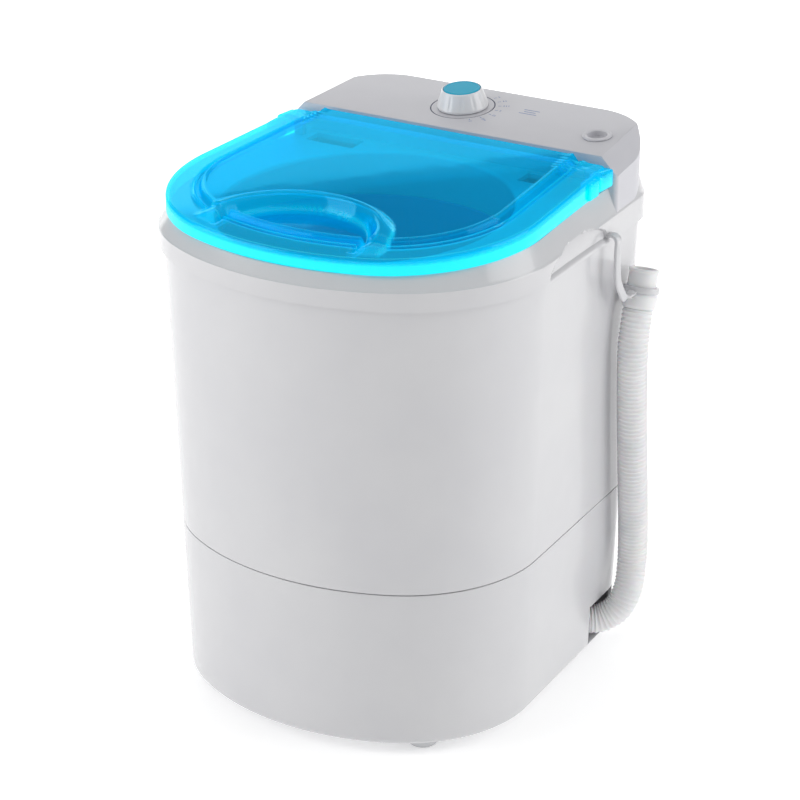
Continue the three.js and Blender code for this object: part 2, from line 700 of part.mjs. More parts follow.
function pulley(groove, bore, centre, segments) {
  const low = pulleyTop - pulleyHeight;
  const half = (pulleyHeight - beltHeight - 1) / 2;
  const outer = groove + beltThickness;
  return moved(turned([[bore, low], [outer, low], [outer, low + half], [groove, low + half],
    [groove, pulleyTop - half], [outer, pulleyTop - half], [outer, pulleyTop], [bore, pulleyTop], [bore, low]],
  segments), centre.x, centre.y);
}

function driveBelt() {
  const middle = pulleyTop - pulleyHeight / 2;
  const loop = (grow) => loopShape(driveCentre, drivenGroove + grow, motorCentre, motorGroove + grow);
  return cut(
    prism(loop(fit + beltThickness), middle - beltHeight / 2, middle + beltHeight / 2, 0, 10),
    prism(loop(fit + beltSlack), middle - beltHeight, middle + beltHeight, 0, 10),
  );
}

function capacitor() {
  return moved(turned([[0, floorTop + fit], [17, floorTop + fit], [17, floorTop + 48], [14, floorTop + 50],
    [0, floorTop + 50]], 20), 62, bodyRear - 74);
}

// ---- drain pipe, hose and hanger
const cuffAxis = new THREE.Vector3(0, 0.25, 0.968).normalize();
const cuffBase = new THREE.Vector3(180.4, 126.5, 345);
const hoseLine = [
  [138, 90, 30.5], [138, 100, 30.5], [144, 112, 30.5], [157, 122, 32], [169, 131, 42], [174, 140, 60],
  [173, 147, 80], [172.5, 149, 100], [174.5, 142, 150], [176.5, 133, 205], [178.3, 125.5, 257],
  [180, 120.3, 310],
].map(([x, y, z]) => new THREE.Vector3(x, y, z));
hoseLine.push(cuffBase.clone().addScaledVector(cuffAxis, -14), cuffBase.clone());
const hoseStart = hoseLine[0];

function drainPipe() {
  const section = circleShape(pipeRadius);
  section.holes.push(circleShape(pipeBore));
  const top = tubFloor - tubWall - fit;
  const end = hoseStart.clone().add(new THREE.Vector3(0, -fit, 0));
  return sweep([
    new THREE.Vector3(sumpSpot.x, sumpSpot.y, top), new THREE.Vector3(sumpSpot.x, sumpSpot.y, top - 15),
    new THREE.Vector3(sumpSpot.x + 10, sumpSpot.y + 6, (top + end.z) / 2),
    new THREE.Vector3(end.x - 6, end.y - 48, end.z + 26), new THREE.Vector3(end.x, end.y - 26, end.z),
    new THREE.Vector3(end.x, end.y - 10, end.z), end,
  ], section, 16, 4);
}

function drainHose() {
  return sweep(hoseLine, circleShape(hoseDiameter / 2), 26);
}

function alongCuff(geometry) {
  const turn = new THREE.Quaternion().setFromUnitVectors(new THREE.Vector3(0, 0, 1), cuffAxis);
  return geometry.applyQuaternion(turn).translate(cuffBase.x, cuffBase.y, cuffBase.z);
}

function hoseCuff() {
  return alongCuff(turned([[0, fit], [14.5, fit], [15.8, 3], [15.8, 10], [13.2, 13], [13.2, 36], [9.5, 36],
    [9.5, 20], [0, 20]], 24));
}

const hangerY = 82;

function hoseHanger() {
  const wall = sideAt(bodyPlan, hangerY) + skirtStandOff + fit + 0.2;
  const level = rim + 7;
  const clip = alongCuff(ring(13.2 + fit, 16.4, 14, 20, 20));
  const stub = block(wall, wall + 10, hangerY - 4.5, hangerY + 4.5, level - 4, level + 3);
  const end = new THREE.Vector3(cuffBase.x, cuffBase.y - 10.7, cuffBase.z + 19);
  const section = new THREE.Shape();
  section.moveTo(-3.5, -1.6);
  section.lineTo(3.5, -1.6);
  section.lineTo(3.5, 1.6);
  section.lineTo(-3.5, 1.6);
  section.closePath();
  const strap = sweep([
    new THREE.Vector3(wall + 8, hangerY, level + 1), new THREE.Vector3(wall + 8, hangerY, level - 15),
    new THREE.Vector3(wall + 8, hangerY + 2, level - 42), new THREE.Vector3(end.x, end.y - 22, end.z + 9),
    new THREE.Vector3(end.x, end.y - 12, end.z), end,
  ], section, 10);
  return cut(join(stub, strap, clip), alongCuff(rod(13.2 + fit + 0.05, -5, 40, 20)));
}

// ---- assembly
const part = new THREE.Group();
part.name = 'mini_washing_machine';

function add(name, geometry, color, roughness = 0.4, metalness = 0) {
  const material = new THREE.MeshStandardMaterial({ color, roughness, metalness });
  const mesh = new THREE.Mesh(geometry, material);
  mesh.name = name;
  part.add(mesh);
}

const white = 0xe9e9ea;
const steel = 0xb9bcc0;
const cyan = 0x00a7dc;
const dark = 0x2b2d31;

add('base_shell', baseShell(), white);
add('bottom_cover', bottomCover(), 0xd4d5d7);
footSpots.forEach(([x, y], i) => add(`foot_${i + 1}`, moved(foot(), x, y), 0xdedee0, 0.6));
coverScrews.forEach(([x, y], i) => {
  add(`cover_screw_${i + 1}`, screw(1.5, 8).rotateX(Math.PI).translate(x, y, baseBottom - 2 - 2 * fit), steel, 0.3, 1);
});
add('cord_gland', cordGland(), dark, 0.7);
add('casing', casing(), white);
add('rear_cover', rearCover(), white);
rearScrews.forEach(([x, z], i) => {
  const y = bodyRear * scaleAt(z) + 1.6 + 3.4 * fit;
  add(`rear_screw_${i + 1}`, screw(1.5, 8).rotateX(-Math.PI / 2).translate(x, y, z), steel, 0.3, 1);
});
add('top_frame', topFrame(), white);
add('control_panel', controlPanel(), white);
add('inlet_port', inletPort(), 0xdcdce0);
add('timer_body', timerBody(), dark, 0.6);
add('timer_shaft', timerShaft(), steel, 0.3, 1);
add('timer_knob', timerKnob(), 0xf2f2f2);
add('knob_cap', knobCap(), cyan, 0.2);
add('lid', lid(), cyan, 0.1);
add('hinge_pin_left', hingePin(-1), steel, 0.3, 1);
add('hinge_pin_right', hingePin(1), steel, 0.3, 1);
add('wash_tub', washTub(), 0x4f8fc4);
add('pulsator', pulsator(), 0x3f7fbe);
add('pulsator_screw', pulsatorScrew(), steel, 0.3, 1);
add('shaft_seal', shaftSeal(), dark, 0.8);
add('drive_shaft', driveShaft(), steel, 0.3, 1);
add('bearing_housing', bearingHousing(), 0x9a9da1, 0.5, 1);
add('upper_bush', bush(housingTop - 20), 0xb08d57, 0.4, 1);
add('lower_bush', bush(housingEnd + 4), 0xb08d57, 0.4, 1);
add('motor_bracket', bracket(), steel, 0.4, 1);
bracketScrews.forEach((p, i) => {
  add(`bracket_screw_${i + 1}`, screw(2, 8).translate(p.x, p.y, bracketTop + fit), steel, 0.3, 1);
});
add('motor', motor(), 0x8a8d91, 0.5, 1);
add('motor_shaft', motorShaft(), steel, 0.3, 1);
add('motor_pulley', pulley(motorGroove, motorShaftRadius + fit, motorCentre, 20), 0x8f9296, 0.4, 1);
add('driven_pulley', pulley(drivenGroove, shaftRadius + fit, driveCentre, 32), 0x8f9296, 0.4, 1);
add('drive_belt', driveBelt(), dark, 0.9);
add('capacitor', capacitor(), 0xc9ccd0, 0.4);
add('drain_pipe', drainPipe(), 0xd8d8da, 0.5);
add('drain_hose', drainHose(), 0xdfe1e3, 0.5);
add('hose_cuff', hoseCuff(), 0xe4e5e7, 0.5);
add('hose_hanger', hoseHanger(), white, 0.4);

export default part;
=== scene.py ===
import math
import bmesh
import bpy
import numpy as np
from mathutils import Matrix, Vector


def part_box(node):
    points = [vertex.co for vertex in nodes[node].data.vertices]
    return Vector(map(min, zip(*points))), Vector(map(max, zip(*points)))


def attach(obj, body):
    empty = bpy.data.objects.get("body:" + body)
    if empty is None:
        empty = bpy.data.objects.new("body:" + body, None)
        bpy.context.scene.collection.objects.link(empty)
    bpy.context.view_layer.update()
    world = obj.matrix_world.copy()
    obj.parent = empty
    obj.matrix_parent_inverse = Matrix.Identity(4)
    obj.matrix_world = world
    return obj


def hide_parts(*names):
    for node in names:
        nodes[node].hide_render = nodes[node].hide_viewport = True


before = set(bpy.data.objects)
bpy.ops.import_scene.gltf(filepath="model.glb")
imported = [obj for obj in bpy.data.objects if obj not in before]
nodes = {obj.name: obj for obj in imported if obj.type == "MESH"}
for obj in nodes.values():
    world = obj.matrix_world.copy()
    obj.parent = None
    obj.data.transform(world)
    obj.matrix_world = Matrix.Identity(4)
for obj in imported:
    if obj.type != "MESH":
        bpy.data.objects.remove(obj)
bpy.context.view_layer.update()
print("frame loaded")


# ---- small tools

def linear(hexText):
    values = [int(hexText[i:i + 2], 16) / 255 for i in (1, 3, 5)]
    return tuple(v / 12.92 if v <= 0.04045 else ((v + 0.055) / 1.055) ** 2.4 for v in values) + (1.0,)


def smoothStep(low, high, value):
    t = np.clip((value - low) / (high - low), 0, 1)
    return t * t * (3 - 2 * t)


# Settings and links go to a socket by its name or number, and other settings to the node itself.
def addNode(tree, kind, settings=None, links=None):
    node = tree.nodes.new(kind)
    for key, value in (settings or {}).items():
        if isinstance(key, int) or key in node.inputs:
            node.inputs[key].default_value = value
        else:
            setattr(node, key, value)
    for key, (source, socket) in (links or {}).items():
        tree.links.new(source.outputs[socket], node.inputs[key])
    return node


def newObject(name, points, faces, body, materials, sharpAngle=35, replaces=()):
    mesh = bpy.data.meshes.new(name)
    mesh.from_pydata([tuple(p) for p in points], [], [list(f) for f in faces])
    mesh.validate()
    piece = bpy.data.objects.new(name, mesh)
    bpy.context.scene.collection.objects.link(piece)
    for material in materials if isinstance(materials, (list, tuple)) else [materials]:
        mesh.materials.append(material)
    tidyNormals(piece, sharpAngle)
    if body:
        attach(piece, body)
    if replaces:
        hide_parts(*replaces)
    return piece


# Joins doubles, turns faces outwards and marks the creases that stay crisp.
def tidyNormals(piece, sharpAngle):
    work = bmesh.new()
    work.from_mesh(piece.data)
    bmesh.ops.remove_doubles(work, verts=work.verts, dist=1e-6)
    bmesh.ops.dissolve_degenerate(work, edges=work.edges, dist=1e-6)
    bmesh.ops.recalc_face_normals(work, faces=work.faces)
    limit = math.radians(sharpAngle)
    for face in work.faces:
        face.smooth = True
    for edge in work.edges:
        edge.smooth = not (len(edge.link_faces) == 2 and edge.calc_face_angle(0) > limit)
    work.to_mesh(piece.data)
    work.free()


def applyModifiers(piece):
    graph = bpy.context.evaluated_depsgraph_get()
    fresh = bpy.data.meshes.new_from_object(piece.evaluated_get(graph), depsgraph=graph)
    old = piece.data
    piece.modifiers.clear()
    piece.data = fresh
    bpy.data.meshes.remove(old)


def carve(piece, cutters, sharpAngle=35):
    for cutter in cutters:
        step = piece.modifiers.new("carve", "BOOLEAN")
        step.operation = "DIFFERENCE"
        step.solver = "EXACT"
        step.object = cutter
        bpy.context.view_layer.update()
        applyModifiers(piece)
        bpy.data.objects.remove(cutter)
    tidyNormals(piece, sharpAngle)


def plainCutter(points, faces):
    mesh = bpy.data.meshes.new("cutter")
    mesh.from_pydata([tuple(p) for p in points], [], [list(f) for f in faces])
    work = bmesh.new()
    work.from_mesh(mesh)
    bmesh.ops.recalc_face_normals(work, faces=work.faces)
    work.to_mesh(mesh)
    work.free()
    cutter = bpy.data.objects.new("cutter", mesh)
    bpy.context.scene.collection.objects.link(cutter)
    return cutter


def boxCutter(low, high):
    corners = [(x, y, z) for x in (low[0], high[0]) for y in (low[1], high[1]) for z in (low[2], high[2])]
    return plainCutter(corners, [(0, 1, 3, 2), (4, 6, 7, 5), (0, 4, 5, 1), (2, 3, 7, 6), (0, 2, 6, 4),
                                 (1, 5, 7, 3)])


# Skins a row of closed rings. The ends are capped, or the last ring meets the first.
def skin(rings, loop=False, capStart=False, capEnd=False):
    count = len(rings[0])
    points = np.concatenate(rings)
    faces = []
    steps = len(rings) if loop else len(rings) - 1
    for k in range(steps):
        a, b = k * count, ((k + 1) % len(rings)) * count
        faces += [(a + i, a + (i + 1) % count, b + (i + 1) % count, b + i) for i in range(count)]
    if capStart:
        faces.append(tuple(range(count))[::-1])
    if capEnd:
        last = (len(rings) - 1) * count
        faces.append(tuple(range(last, last + count)))
    return points, faces


# A polyline of (u, v, radius) with each corner rounded by its radius.
def roundedLine(corners, steps=5):
    out = []
    for i, (u, v, radius) in enumerate(corners):
        if radius == 0 or i in (0, len(corners) - 1):
            out.append((u, v))
            continue
        here = Vector((u, v))
        back = (Vector(corners[i - 1][:2]) - here)
        ahead = (Vector(corners[i + 1][:2]) - here)
        half = back.angle(ahead) / 2
        reach = min(radius / math.tan(half), back.length * 0.49, ahead.length * 0.49)
        start, end = here + back.normalized() * reach, here + ahead.normalized() * reach
        for k in range(steps + 1):
            t = k / steps
            out.append(tuple(start * (1 - t) ** 2 + here * 2 * t * (1 - t) + end * t * t))
    return out


def turned(profile, sides=96, axis=Vector((0, 0, 1)), base=Vector((0, 0, 0)), spin=0.0):
    turn = Vector((0, 0, 1)).rotation_difference(axis).to_matrix()
    rings = []
    for r, z in profile:
        ring = []
        for i in range(sides):
            a = spin + 2 * math.pi * i / sides
            ring.append(base + turn @ Vector((max(r, 1e-6) * math.cos(a), max(r, 1e-6) * math.sin(a), z)))
        rings.append(np.array(ring))
    return rings


# ---- outline of the cabinet and of the lid

bodyPlan = {"halfWidth": 0.180, "front": -0.190, "rear": 0.190, "bow": 0.235, "corner": 0.134,
            "rearCorner": 0.045, "lean": math.radians(5.3)}
lidPlan = {"halfWidth": 0.1745, "front": -0.184, "rear": 0.089, "bow": 0.282, "corner": 0.128,
           "rearCorner": 0.008, "lean": math.radians(4.2)}
levels = {"bottom": 0.010, "seam": 0.1575, "seamGap": 0.0008, "rim": 0.4183, "casingTop": 0.4293,
          "skirt": 0.0156, "deckRise": 0.0109, "beadSlope": 0.017, "deckSlope": 0.07, "draft": 0.0277,
          "consoleStart": 0.097, "panelLift": 0.0245, "panelSlope": 0.115, "hingeY": 0.081,
          "hingeLift": 0.0141, "lidSwell": 1.6}


def planCorners(plan):
    bowY = plan["front"] + plan["bow"]
    x = plan["halfWidth"] - plan["corner"]
    y = bowY - math.sqrt((plan["bow"] - plan["corner"]) ** 2 - x * x)
    reach = x * math.cos(plan["lean"]) + y * math.sin(plan["lean"]) + plan["corner"]
    return bowY, x, y, reach, math.atan2(y - bowY, x)


def sideAt(plan, y):
    reach = planCorners(plan)[3]
    return (reach - y * math.sin(plan["lean"])) / math.cos(plan["lean"])


# Points round the outline, counted so that every offset has the same number of them.
def planRing(plan, offset=0.0, counts=(60, 60, 70, 26, 30)):
    bowY, cx, cy, reach, turn = planCorners(plan)
    lean = plan["lean"]
    rearR = max(plan["rearCorner"] + offset, 0.001)
    rearY = plan["rear"] + offset - rearR
    rearX = (reach + offset - rearR - rearY * math.sin(lean)) / math.cos(lean)

    def arc(x, y, r, a0, a1, n):
        a = np.linspace(a0, a1, n, endpoint=False)
        return np.stack([x + r * np.cos(a), y + r * np.sin(a)], 1)

    def line(p, q, n):
        t = np.linspace(0, 1, n, endpoint=False)[:, None]
        return np.array(p) * (1 - t) + np.array(q) * t

    cornerR = plan["corner"] + offset
    a = arc(0, bowY, plan["bow"] + offset, -math.pi - turn, turn, counts[0])
    b = arc(cx, cy, cornerR, turn, lean, counts[1])
    sideStart = (cx + cornerR * math.cos(lean), cy + cornerR * math.sin(lean))
    sideEnd = (rearX + rearR * math.cos(lean), rearY + rearR * math.sin(lean))
    c = line(sideStart, sideEnd, counts[2])
    d = arc(rearX, rearY, rearR, lean, math.pi / 2, counts[3])
    e = line((rearX, rearY + rearR), (-rearX, rearY + rearR), counts[4])
    f = arc(-rearX, rearY, rearR, math.pi / 2, math.pi - lean, counts[3])
    g = line((-sideEnd[0], sideEnd[1]), (-sideStart[0], sideStart[1]), counts[2])
    h = arc(-cx, cy, cornerR, math.pi - lean, math.pi - turn, counts[1])
    return np.concatenate([a, b, c, d, e, f, g, h])


# How far a point lies inside the front, corner and side edges. The rear edge doesn't count.
def insetOf(plan, x, y):
    bowY, cx, cy, reach, turn = planCorners(plan)
    ax = np.abs(x)
    bow = plan["bow"] - np.hypot(ax, y - bowY)
    corner = plan["corner"] - np.hypot(ax - cx, y - cy)
    side = reach - (ax * math.cos(plan["lean"]) + y * math.sin(plan["lean"]))
    angle = np.arctan2(y - cy, ax - cx)
    inBow = np.arctan2(y - bowY, ax) < turn
    inSide = (angle > plan["lean"]) | ((y > cy) & (ax < cx))
    return np.where(inBow & (y < bowY), bow, np.where(inSide, side, np.where(ax < cx, bow, corner)))


def beadAt(y):
    return levels["rim"] + levels["skirt"] + levels["beadSlope"] * (y - bodyPlan["front"])


def deckAt(y):
    return levels["rim"] + levels["skirt"] + levels["deckRise"] + levels["deckSlope"] * (y - lidPlan["front"])


def lidAt(y):
    return deckAt(y) + 0.0005


# The lid thickens steadily towards its hinge.
def swellAt(y):
    return 1 + levels["lidSwell"] * (y - lidPlan["front"])


def draftAt(z):
    return 1 - levels["draft"] * np.maximum(levels["casingTop"] - z, 0) / bodyPlan["halfWidth"]


def panelAt(y):
    start = levels["consoleStart"]
    return deckAt(start) + levels["panelLift"] + levels["panelSlope"] * (y - start)


# ---- camera

camera = bpy.data.objects.new("camera", bpy.data.cameras.new("camera"))
bpy.context.scene.collection.objects.link(camera)
camera.location = (1.1620, -1.7509, 1.1314)
aim = Vector((-0.0074, 0.0266, 0.2485)) - camera.location
camera.rotation_euler = aim.to_track_quat("-Z", "Y").to_euler()
camera.data.lens = 113.76
camera.data.sensor_width = 36
bpy.context.scene.camera = camera


# ---- materials

def surfaceTree(name):
    material = bpy.data.materials.new(name)
    material.use_nodes = True
    tree = material.node_tree
    tree.nodes.clear()
    place = addNode(tree, "ShaderNodeTexCoord")
    return material, tree, place


def finishTree(tree, shader, socket="BSDF"):
    addNode(tree, "ShaderNodeOutputMaterial", None, {"Surface": (shader, socket)})


patternSize = {"flow": 111.0, "peel": 2.38, "grain": 0.385, "haze": 167.0, "ripple": 38.5, "blotch": 25.0,
               "hoseGrain": 0.667, "metalGrain": 1.11}  # millimetres


def perMetre(key):
    return 1000 / patternSize[key]


# Injection moulded ABS. High gloss from a polished tool, with faint flow shading and a very soft
# orange peel, so long highlights waver a little.
def mouldedSkin(name, light, shade, roughness, peel=0.04, grain=0.0, coat=0.35):
    material, tree, place = surfaceTree(name)
    flow = addNode(tree, "ShaderNodeTexNoise", {"Scale": perMetre("flow"), "Detail": 3.0, "Roughness": 0.55},
                   {"Vector": (place, "Object")})
    tone = addNode(tree, "ShaderNodeValToRGB", None, {"Fac": (flow, "Fac")})
    tone.color_ramp.elements[0].position = 0.35
    tone.color_ramp.elements[0].color = linear(shade)
    tone.color_ramp.elements[1].position = 0.7
    tone.color_ramp.elements[1].color = linear(light)
    wear = addNode(tree, "ShaderNodeMapRange", {"To Min": roughness * 0.85, "To Max": roughness * 1.2},
                   {"Value": (flow, "Fac")})
    orange = addNode(tree, "ShaderNodeTexNoise", {"Scale": perMetre("peel"), "Detail": 1.0},
                     {"Vector": (place, "Object")})
    bump = addNode(tree, "ShaderNodeBump", {"Strength": peel, "Distance": 0.0004},
                   {"Height": (orange, "Fac")})
    if grain:
        spark = addNode(tree, "ShaderNodeTexNoise", {"Scale": perMetre("grain"), "Detail": 2.0},
                        {"Vector": (place, "Object")})
        bump = addNode(tree, "ShaderNodeBump", {"Strength": grain, "Distance": 0.0002},
                       {"Height": (spark, "Fac"), "Normal": (bump, "Normal")})
    shader = addNode(tree, "ShaderNodeBsdfPrincipled",
                     {"IOR": 1.53, "Coat Weight": coat, "Coat Roughness": 0.06},
                     {"Base Color": (tone, "Color"), "Roughness": (wear, "Result"),
                      "Normal": (bump, "Normal")})
    finishTree(tree, shader)
    return material


whiteAbs = mouldedSkin("white_gloss_abs", "#D2D2D4", "#CDCDD0", 0.24, coat=0.5)
satinAbs = mouldedSkin("white_satin_abs", "#CDCDD2", "#C7C7CD", 0.4, grain=0.12, coat=0.1)
knobAbs = mouldedSkin("white_knob_abs", "#F0F0F2", "#EAEAEC", 0.28)
greyAbs = mouldedSkin("grey_abs", "#C4C6C9", "#B6B8BC", 0.45, grain=0.2, coat=0.0)
capAbs = mouldedSkin("cyan_cap_abs", "#00B0D2", "#00A6CA", 0.5, coat=0.0)
tubPolypropylene = mouldedSkin("blue_polypropylene", "#4E8CC4", "#4482BA", 0.3, coat=0.2)
pulsatorPolypropylene = mouldedSkin("deep_blue_polypropylene", "#5A94CC", "#4E88C2", 0.3, coat=0.2)
blackAbs = mouldedSkin("black_abs", "#26272A", "#1E1F22", 0.5, grain=0.2, coat=0.0)


# Clear acrylic tinted cyan. Polished on both faces: sharp mirror reflections over a body that lets the
# inside show blue. Its solid share carries a painted glow (emission), with painted bright cyan glow lines on
# edges and crests.
# The edge colour is the colour of the painted glow lines; the last two values are the emission strengths of
# the painted glow on the body and on the lines.
acrylic = {"through": "#62F0FF", "body": "#00B8EC", "edge": "#00ECF4", "mirror": "#24DCFF",
           "bodyShare": 0.12, "glowLineShare": 0.72, "bodyPaintedGlow": 0.85, "linePaintedGlow": 0.42}


def tintedAcrylic(name, a):
    material, tree, place = surfaceTree(name)
    # Painted glow lines marked on the mesh: they raise the solid share, shift its colour to bright cyan and
    # set its painted emission.
    paintedGlow = addNode(tree, "ShaderNodeAttribute", {"attribute_name": "paintedGlowLines"})
    haze = addNode(tree, "ShaderNodeTexNoise", {"Scale": perMetre("haze"), "Detail": 2.0},
                   {"Vector": (place, "Object")})
    least, most = a["bodyShare"] * 0.9, a["bodyShare"] * 1.1
    share = addNode(tree, "ShaderNodeMapRange", {"To Min": least, "To Max": most}, {"Value": (haze, "Fac")})
    cover = addNode(tree, "ShaderNodeMix", {"data_type": "FLOAT", 3: a["glowLineShare"]},
                    {0: (paintedGlow, "Fac"), 2: (share, "Result")})
    colour = addNode(tree, "ShaderNodeMix", {"data_type": "RGBA", 6: linear(a["body"]), 7: linear(a["edge"])},
                     {0: (paintedGlow, "Fac")})
    paintedEmission = addNode(tree, "ShaderNodeMapRange", {"To Min": a["bodyPaintedGlow"], "To Max": a["linePaintedGlow"]},
                  {"Value": (paintedGlow, "Fac")})
    ripple = addNode(tree, "ShaderNodeTexNoise", {"Scale": perMetre("ripple"), "Detail": 1.0},
                     {"Vector": (place, "Object")})
    bump = addNode(tree, "ShaderNodeBump", {"Strength": 0.02, "Distance": 0.002}, {"Height": (ripple, "Fac")})
    # The solid share emits its own colour: a painted glow over the lid, which is no lamp.
    solid = addNode(tree, "ShaderNodeBsdfPrincipled", {"IOR": 1.49, "Roughness": 0.06},
                    {"Base Color": (colour, 2), "Emission Color": (colour, 2),
                     "Emission Strength": (paintedEmission, "Result"), "Normal": (bump, "Normal")})
    clear = addNode(tree, "ShaderNodeBsdfTransparent", {"Color": linear(a["through"])})
    blended = addNode(tree, "ShaderNodeMixShader", None,
                      {0: (cover, 0), 1: (clear, "BSDF"), 2: (solid, "BSDF")})
    gloss = addNode(tree, "ShaderNodeBsdfGlossy", {"Roughness": 0.03, "Color": linear(a["mirror"])},
                    {"Normal": (bump, "Normal")})
    facing = addNode(tree, "ShaderNodeLayerWeight", {"Blend": 0.5}, {"Normal": (bump, "Normal")})
    steep = addNode(tree, "ShaderNodeMath", {"operation": "POWER", 1: 4.0}, {0: (facing, "Facing")})
    mirror = addNode(tree, "ShaderNodeMath", {"operation": "MULTIPLY_ADD", 1: 0.8, 2: 0.03},
                     {0: (steep, "Value")})
    shader = addNode(tree, "ShaderNodeMixShader", None,
                     {0: (mirror, "Value"), 1: (blended, "Shader"), 2: (gloss, "BSDF")})
    finishTree(tree, shader, "Shader")
    return material


lidAcrylic = tintedAcrylic("cyan_acrylic_with_painted_glow", acrylic)


# Blow moulded polyethylene hose. Waxy white, slightly translucent, a little darker in soft random blotches of
# dust.
def waxyPolyethylene(name, light, groove):
    material, tree, place = surfaceTree(name)
    blotch = addNode(tree, "ShaderNodeTexNoise", {"Scale": perMetre("blotch"), "Detail": 3.0},
                     {"Vector": (place, "Object")})
    tone = addNode(tree, "ShaderNodeValToRGB", None, {"Fac": (blotch, "Fac")})
    tone.color_ramp.elements[0].position = 0.3
    tone.color_ramp.elements[0].color = linear(groove)
    tone.color_ramp.elements[1].position = 0.62
    tone.color_ramp.elements[1].color = linear(light)
    fine = addNode(tree, "ShaderNodeTexNoise", {"Scale": perMetre("hoseGrain"), "Detail": 2.0},
                   {"Vector": (place, "Object")})
    bump = addNode(tree, "ShaderNodeBump", {"Strength": 0.15, "Distance": 0.0003}, {"Height": (fine, "Fac")})
    shader = addNode(tree, "ShaderNodeBsdfPrincipled",
                     {"IOR": 1.51, "Roughness": 0.42, "Subsurface Weight": 0.15, "Subsurface Scale": 0.004},
                     {"Base Color": (tone, "Color"), "Normal": (bump, "Normal")})
    finishTree(tree, shader)
    return material


hosePolyethylene = waxyPolyethylene("white_polyethylene", "#EEEEEF", "#E4E5E7")


# Bare and plated metals of the fasteners and the drive: fine lines or grain break up the shine.
def grainyMetal(name, light, dark, roughness, stretch):
    material, tree, place = surfaceTree(name)
    lay = addNode(tree, "ShaderNodeMapping", {"Scale": stretch}, {"Vector": (place, "Object")})
    lines = addNode(tree, "ShaderNodeTexNoise", {"Scale": perMetre("metalGrain"), "Detail": 3.0},
                    {"Vector": (lay, "Vector")})
    tone = addNode(tree, "ShaderNodeValToRGB", None, {"Fac": (lines, "Fac")})
    tone.color_ramp.elements[0].color = linear(dark)
    tone.color_ramp.elements[1].color = linear(light)
    wear = addNode(tree, "ShaderNodeMapRange", {"To Min": roughness * 0.8, "To Max": roughness * 1.3},
                   {"Value": (lines, "Fac")})
    bump = addNode(tree, "ShaderNodeBump", {"Strength": 0.1, "Distance": 0.0002}, {"Height": (lines, "Fac")})
    shader = addNode(tree, "ShaderNodeBsdfPrincipled", {"Metallic": 1.0},
                     {"Base Color": (tone, "Color"), "Roughness": (wear, "Result"),
                      "Normal": (bump, "Normal")})
    finishTree(tree, shader)
    return material


zincSteel = grainyMetal("zinc_plated_steel", "#D6D8DA", "#B9BCC0", 0.3, (1, 1, 0.1))
castAluminium = grainyMetal("cast_aluminium", "#C2C4C7", "#A3A6AA", 0.5, (1, 1, 1))
sinteredBronze = grainyMetal("sintered_bronze", "#B08A58", "#8F6D42", 0.45, (1, 1, 1))
motorEnamel = mouldedSkin("grey_enamel", "#7D8186", "#6C7075", 0.4, grain=0.1, coat=0.3)
softRubber = mouldedSkin("pale_rubber", "#C9CACC", "#B9BABD", 0.7, peel=0.02, grain=0.4, coat=0.0)
blackRubber = mouldedSkin("black_rubber", "#2A2B2D", "#202123", 0.75, peel=0.02, grain=0.4, coat=0.0)
dialInk = mouldedSkin("blue_grey_print", "#6F86B8", "#5F77AC", 0.5, coat=0.0)
ringInk = mouldedSkin("dark_blue_print", "#3C4668", "#333C5C", 0.4, coat=0.0)
print("materials made")


# ---- drain hose

hoseSize = {"outer": 0.028, "pitch": 0.0042, "ribDepth": 0.0011, "sides": 48, "stepsPerRib": 6}
hoseRoute = [Vector(p) / 1000 for p in (
    (138, 90, 30.5), (138, 100, 30.5), (144, 112, 30.5), (157, 122, 32), (169, 131, 42), (174, 140, 60),
    (173, 147, 80), (172.5, 149, 100), (174.5, 142, 150), (176.5, 133, 205), (178.3, 125.5, 257),
    (180, 120.3, 310))]
cuffAxis = Vector((0, 0.25, 0.968)).normalized()
cuffBase = Vector((0.1804, 0.1265, 0.345))
hoseRoute += [cuffBase - cuffAxis * 0.014, cuffBase]


# Centripetal spline through the route, the same curve as the pipe it stands for.
def routePoints(knots, perSpan):
    first = knots[0] * 2 - knots[1]
    last = knots[-1] * 2 - knots[-2]
    row = [first] + list(knots) + [last]
    out = []
    for i in range(1, len(row) - 2):
        p = row[i - 1:i + 3]
        t = [0.0]
        for k in range(3):
            t.append(t[-1] + max((p[k + 1] - p[k]).length ** 0.5, 1e-6))
        for s in range(perSpan):
            x = t[1] + (t[2] - t[1]) * s / perSpan
            a = [p[k] * ((t[k + 1] - x) / (t[k + 1] - t[k])) + p[k + 1] * ((x - t[k]) / (t[k + 1]
                - t[k])) for k in range(3)]
            b = [a[k] * ((t[k + 2] - x) / (t[k + 2] - t[k])) + a[k + 1] * ((x - t[k]) / (t[k + 2]
                - t[k])) for k in range(2)]
            out.append(b[0] * ((t[2] - x) / (t[2] - t[1])) + b[1] * ((x - t[1]) / (t[2] - t[1])))
    out.append(knots[-1].copy())
    return out


def evenPoints(points, step):
    out = [points[0].copy()]
    left = step
    for a, b in zip(points, points[1:]):
        span = (b - a).length
        done = 0.0
        while span - done >= left:
            done += left
            out.append(a.lerp(b, done / span))
            left = step
        left -= span - done
    out.append(points[-1].copy())
    return out


def sweepRings(points, radiusAt, sides):
    rings = []
    side = Vector((1, 0, 0))
    for i, p in enumerate(points):
        ahead = (points[min(i + 1, len(points) - 1)] - points[max(i - 1, 0)]).normalized()
        side = (side - ahead * side.dot(ahead)).normalized()
        up = ahead.cross(side)
        r = radiusAt(i)
        rings.append(np.array([p + (side * math.cos(2 * math.pi * k / sides) + up * math.sin(2 * math.pi
            * k / sides)) * r
                               for k in range(sides)]))
    return rings


fineRoute = evenPoints(routePoints(hoseRoute, 24), hoseSize["pitch"] / hoseSize["stepsPerRib"])


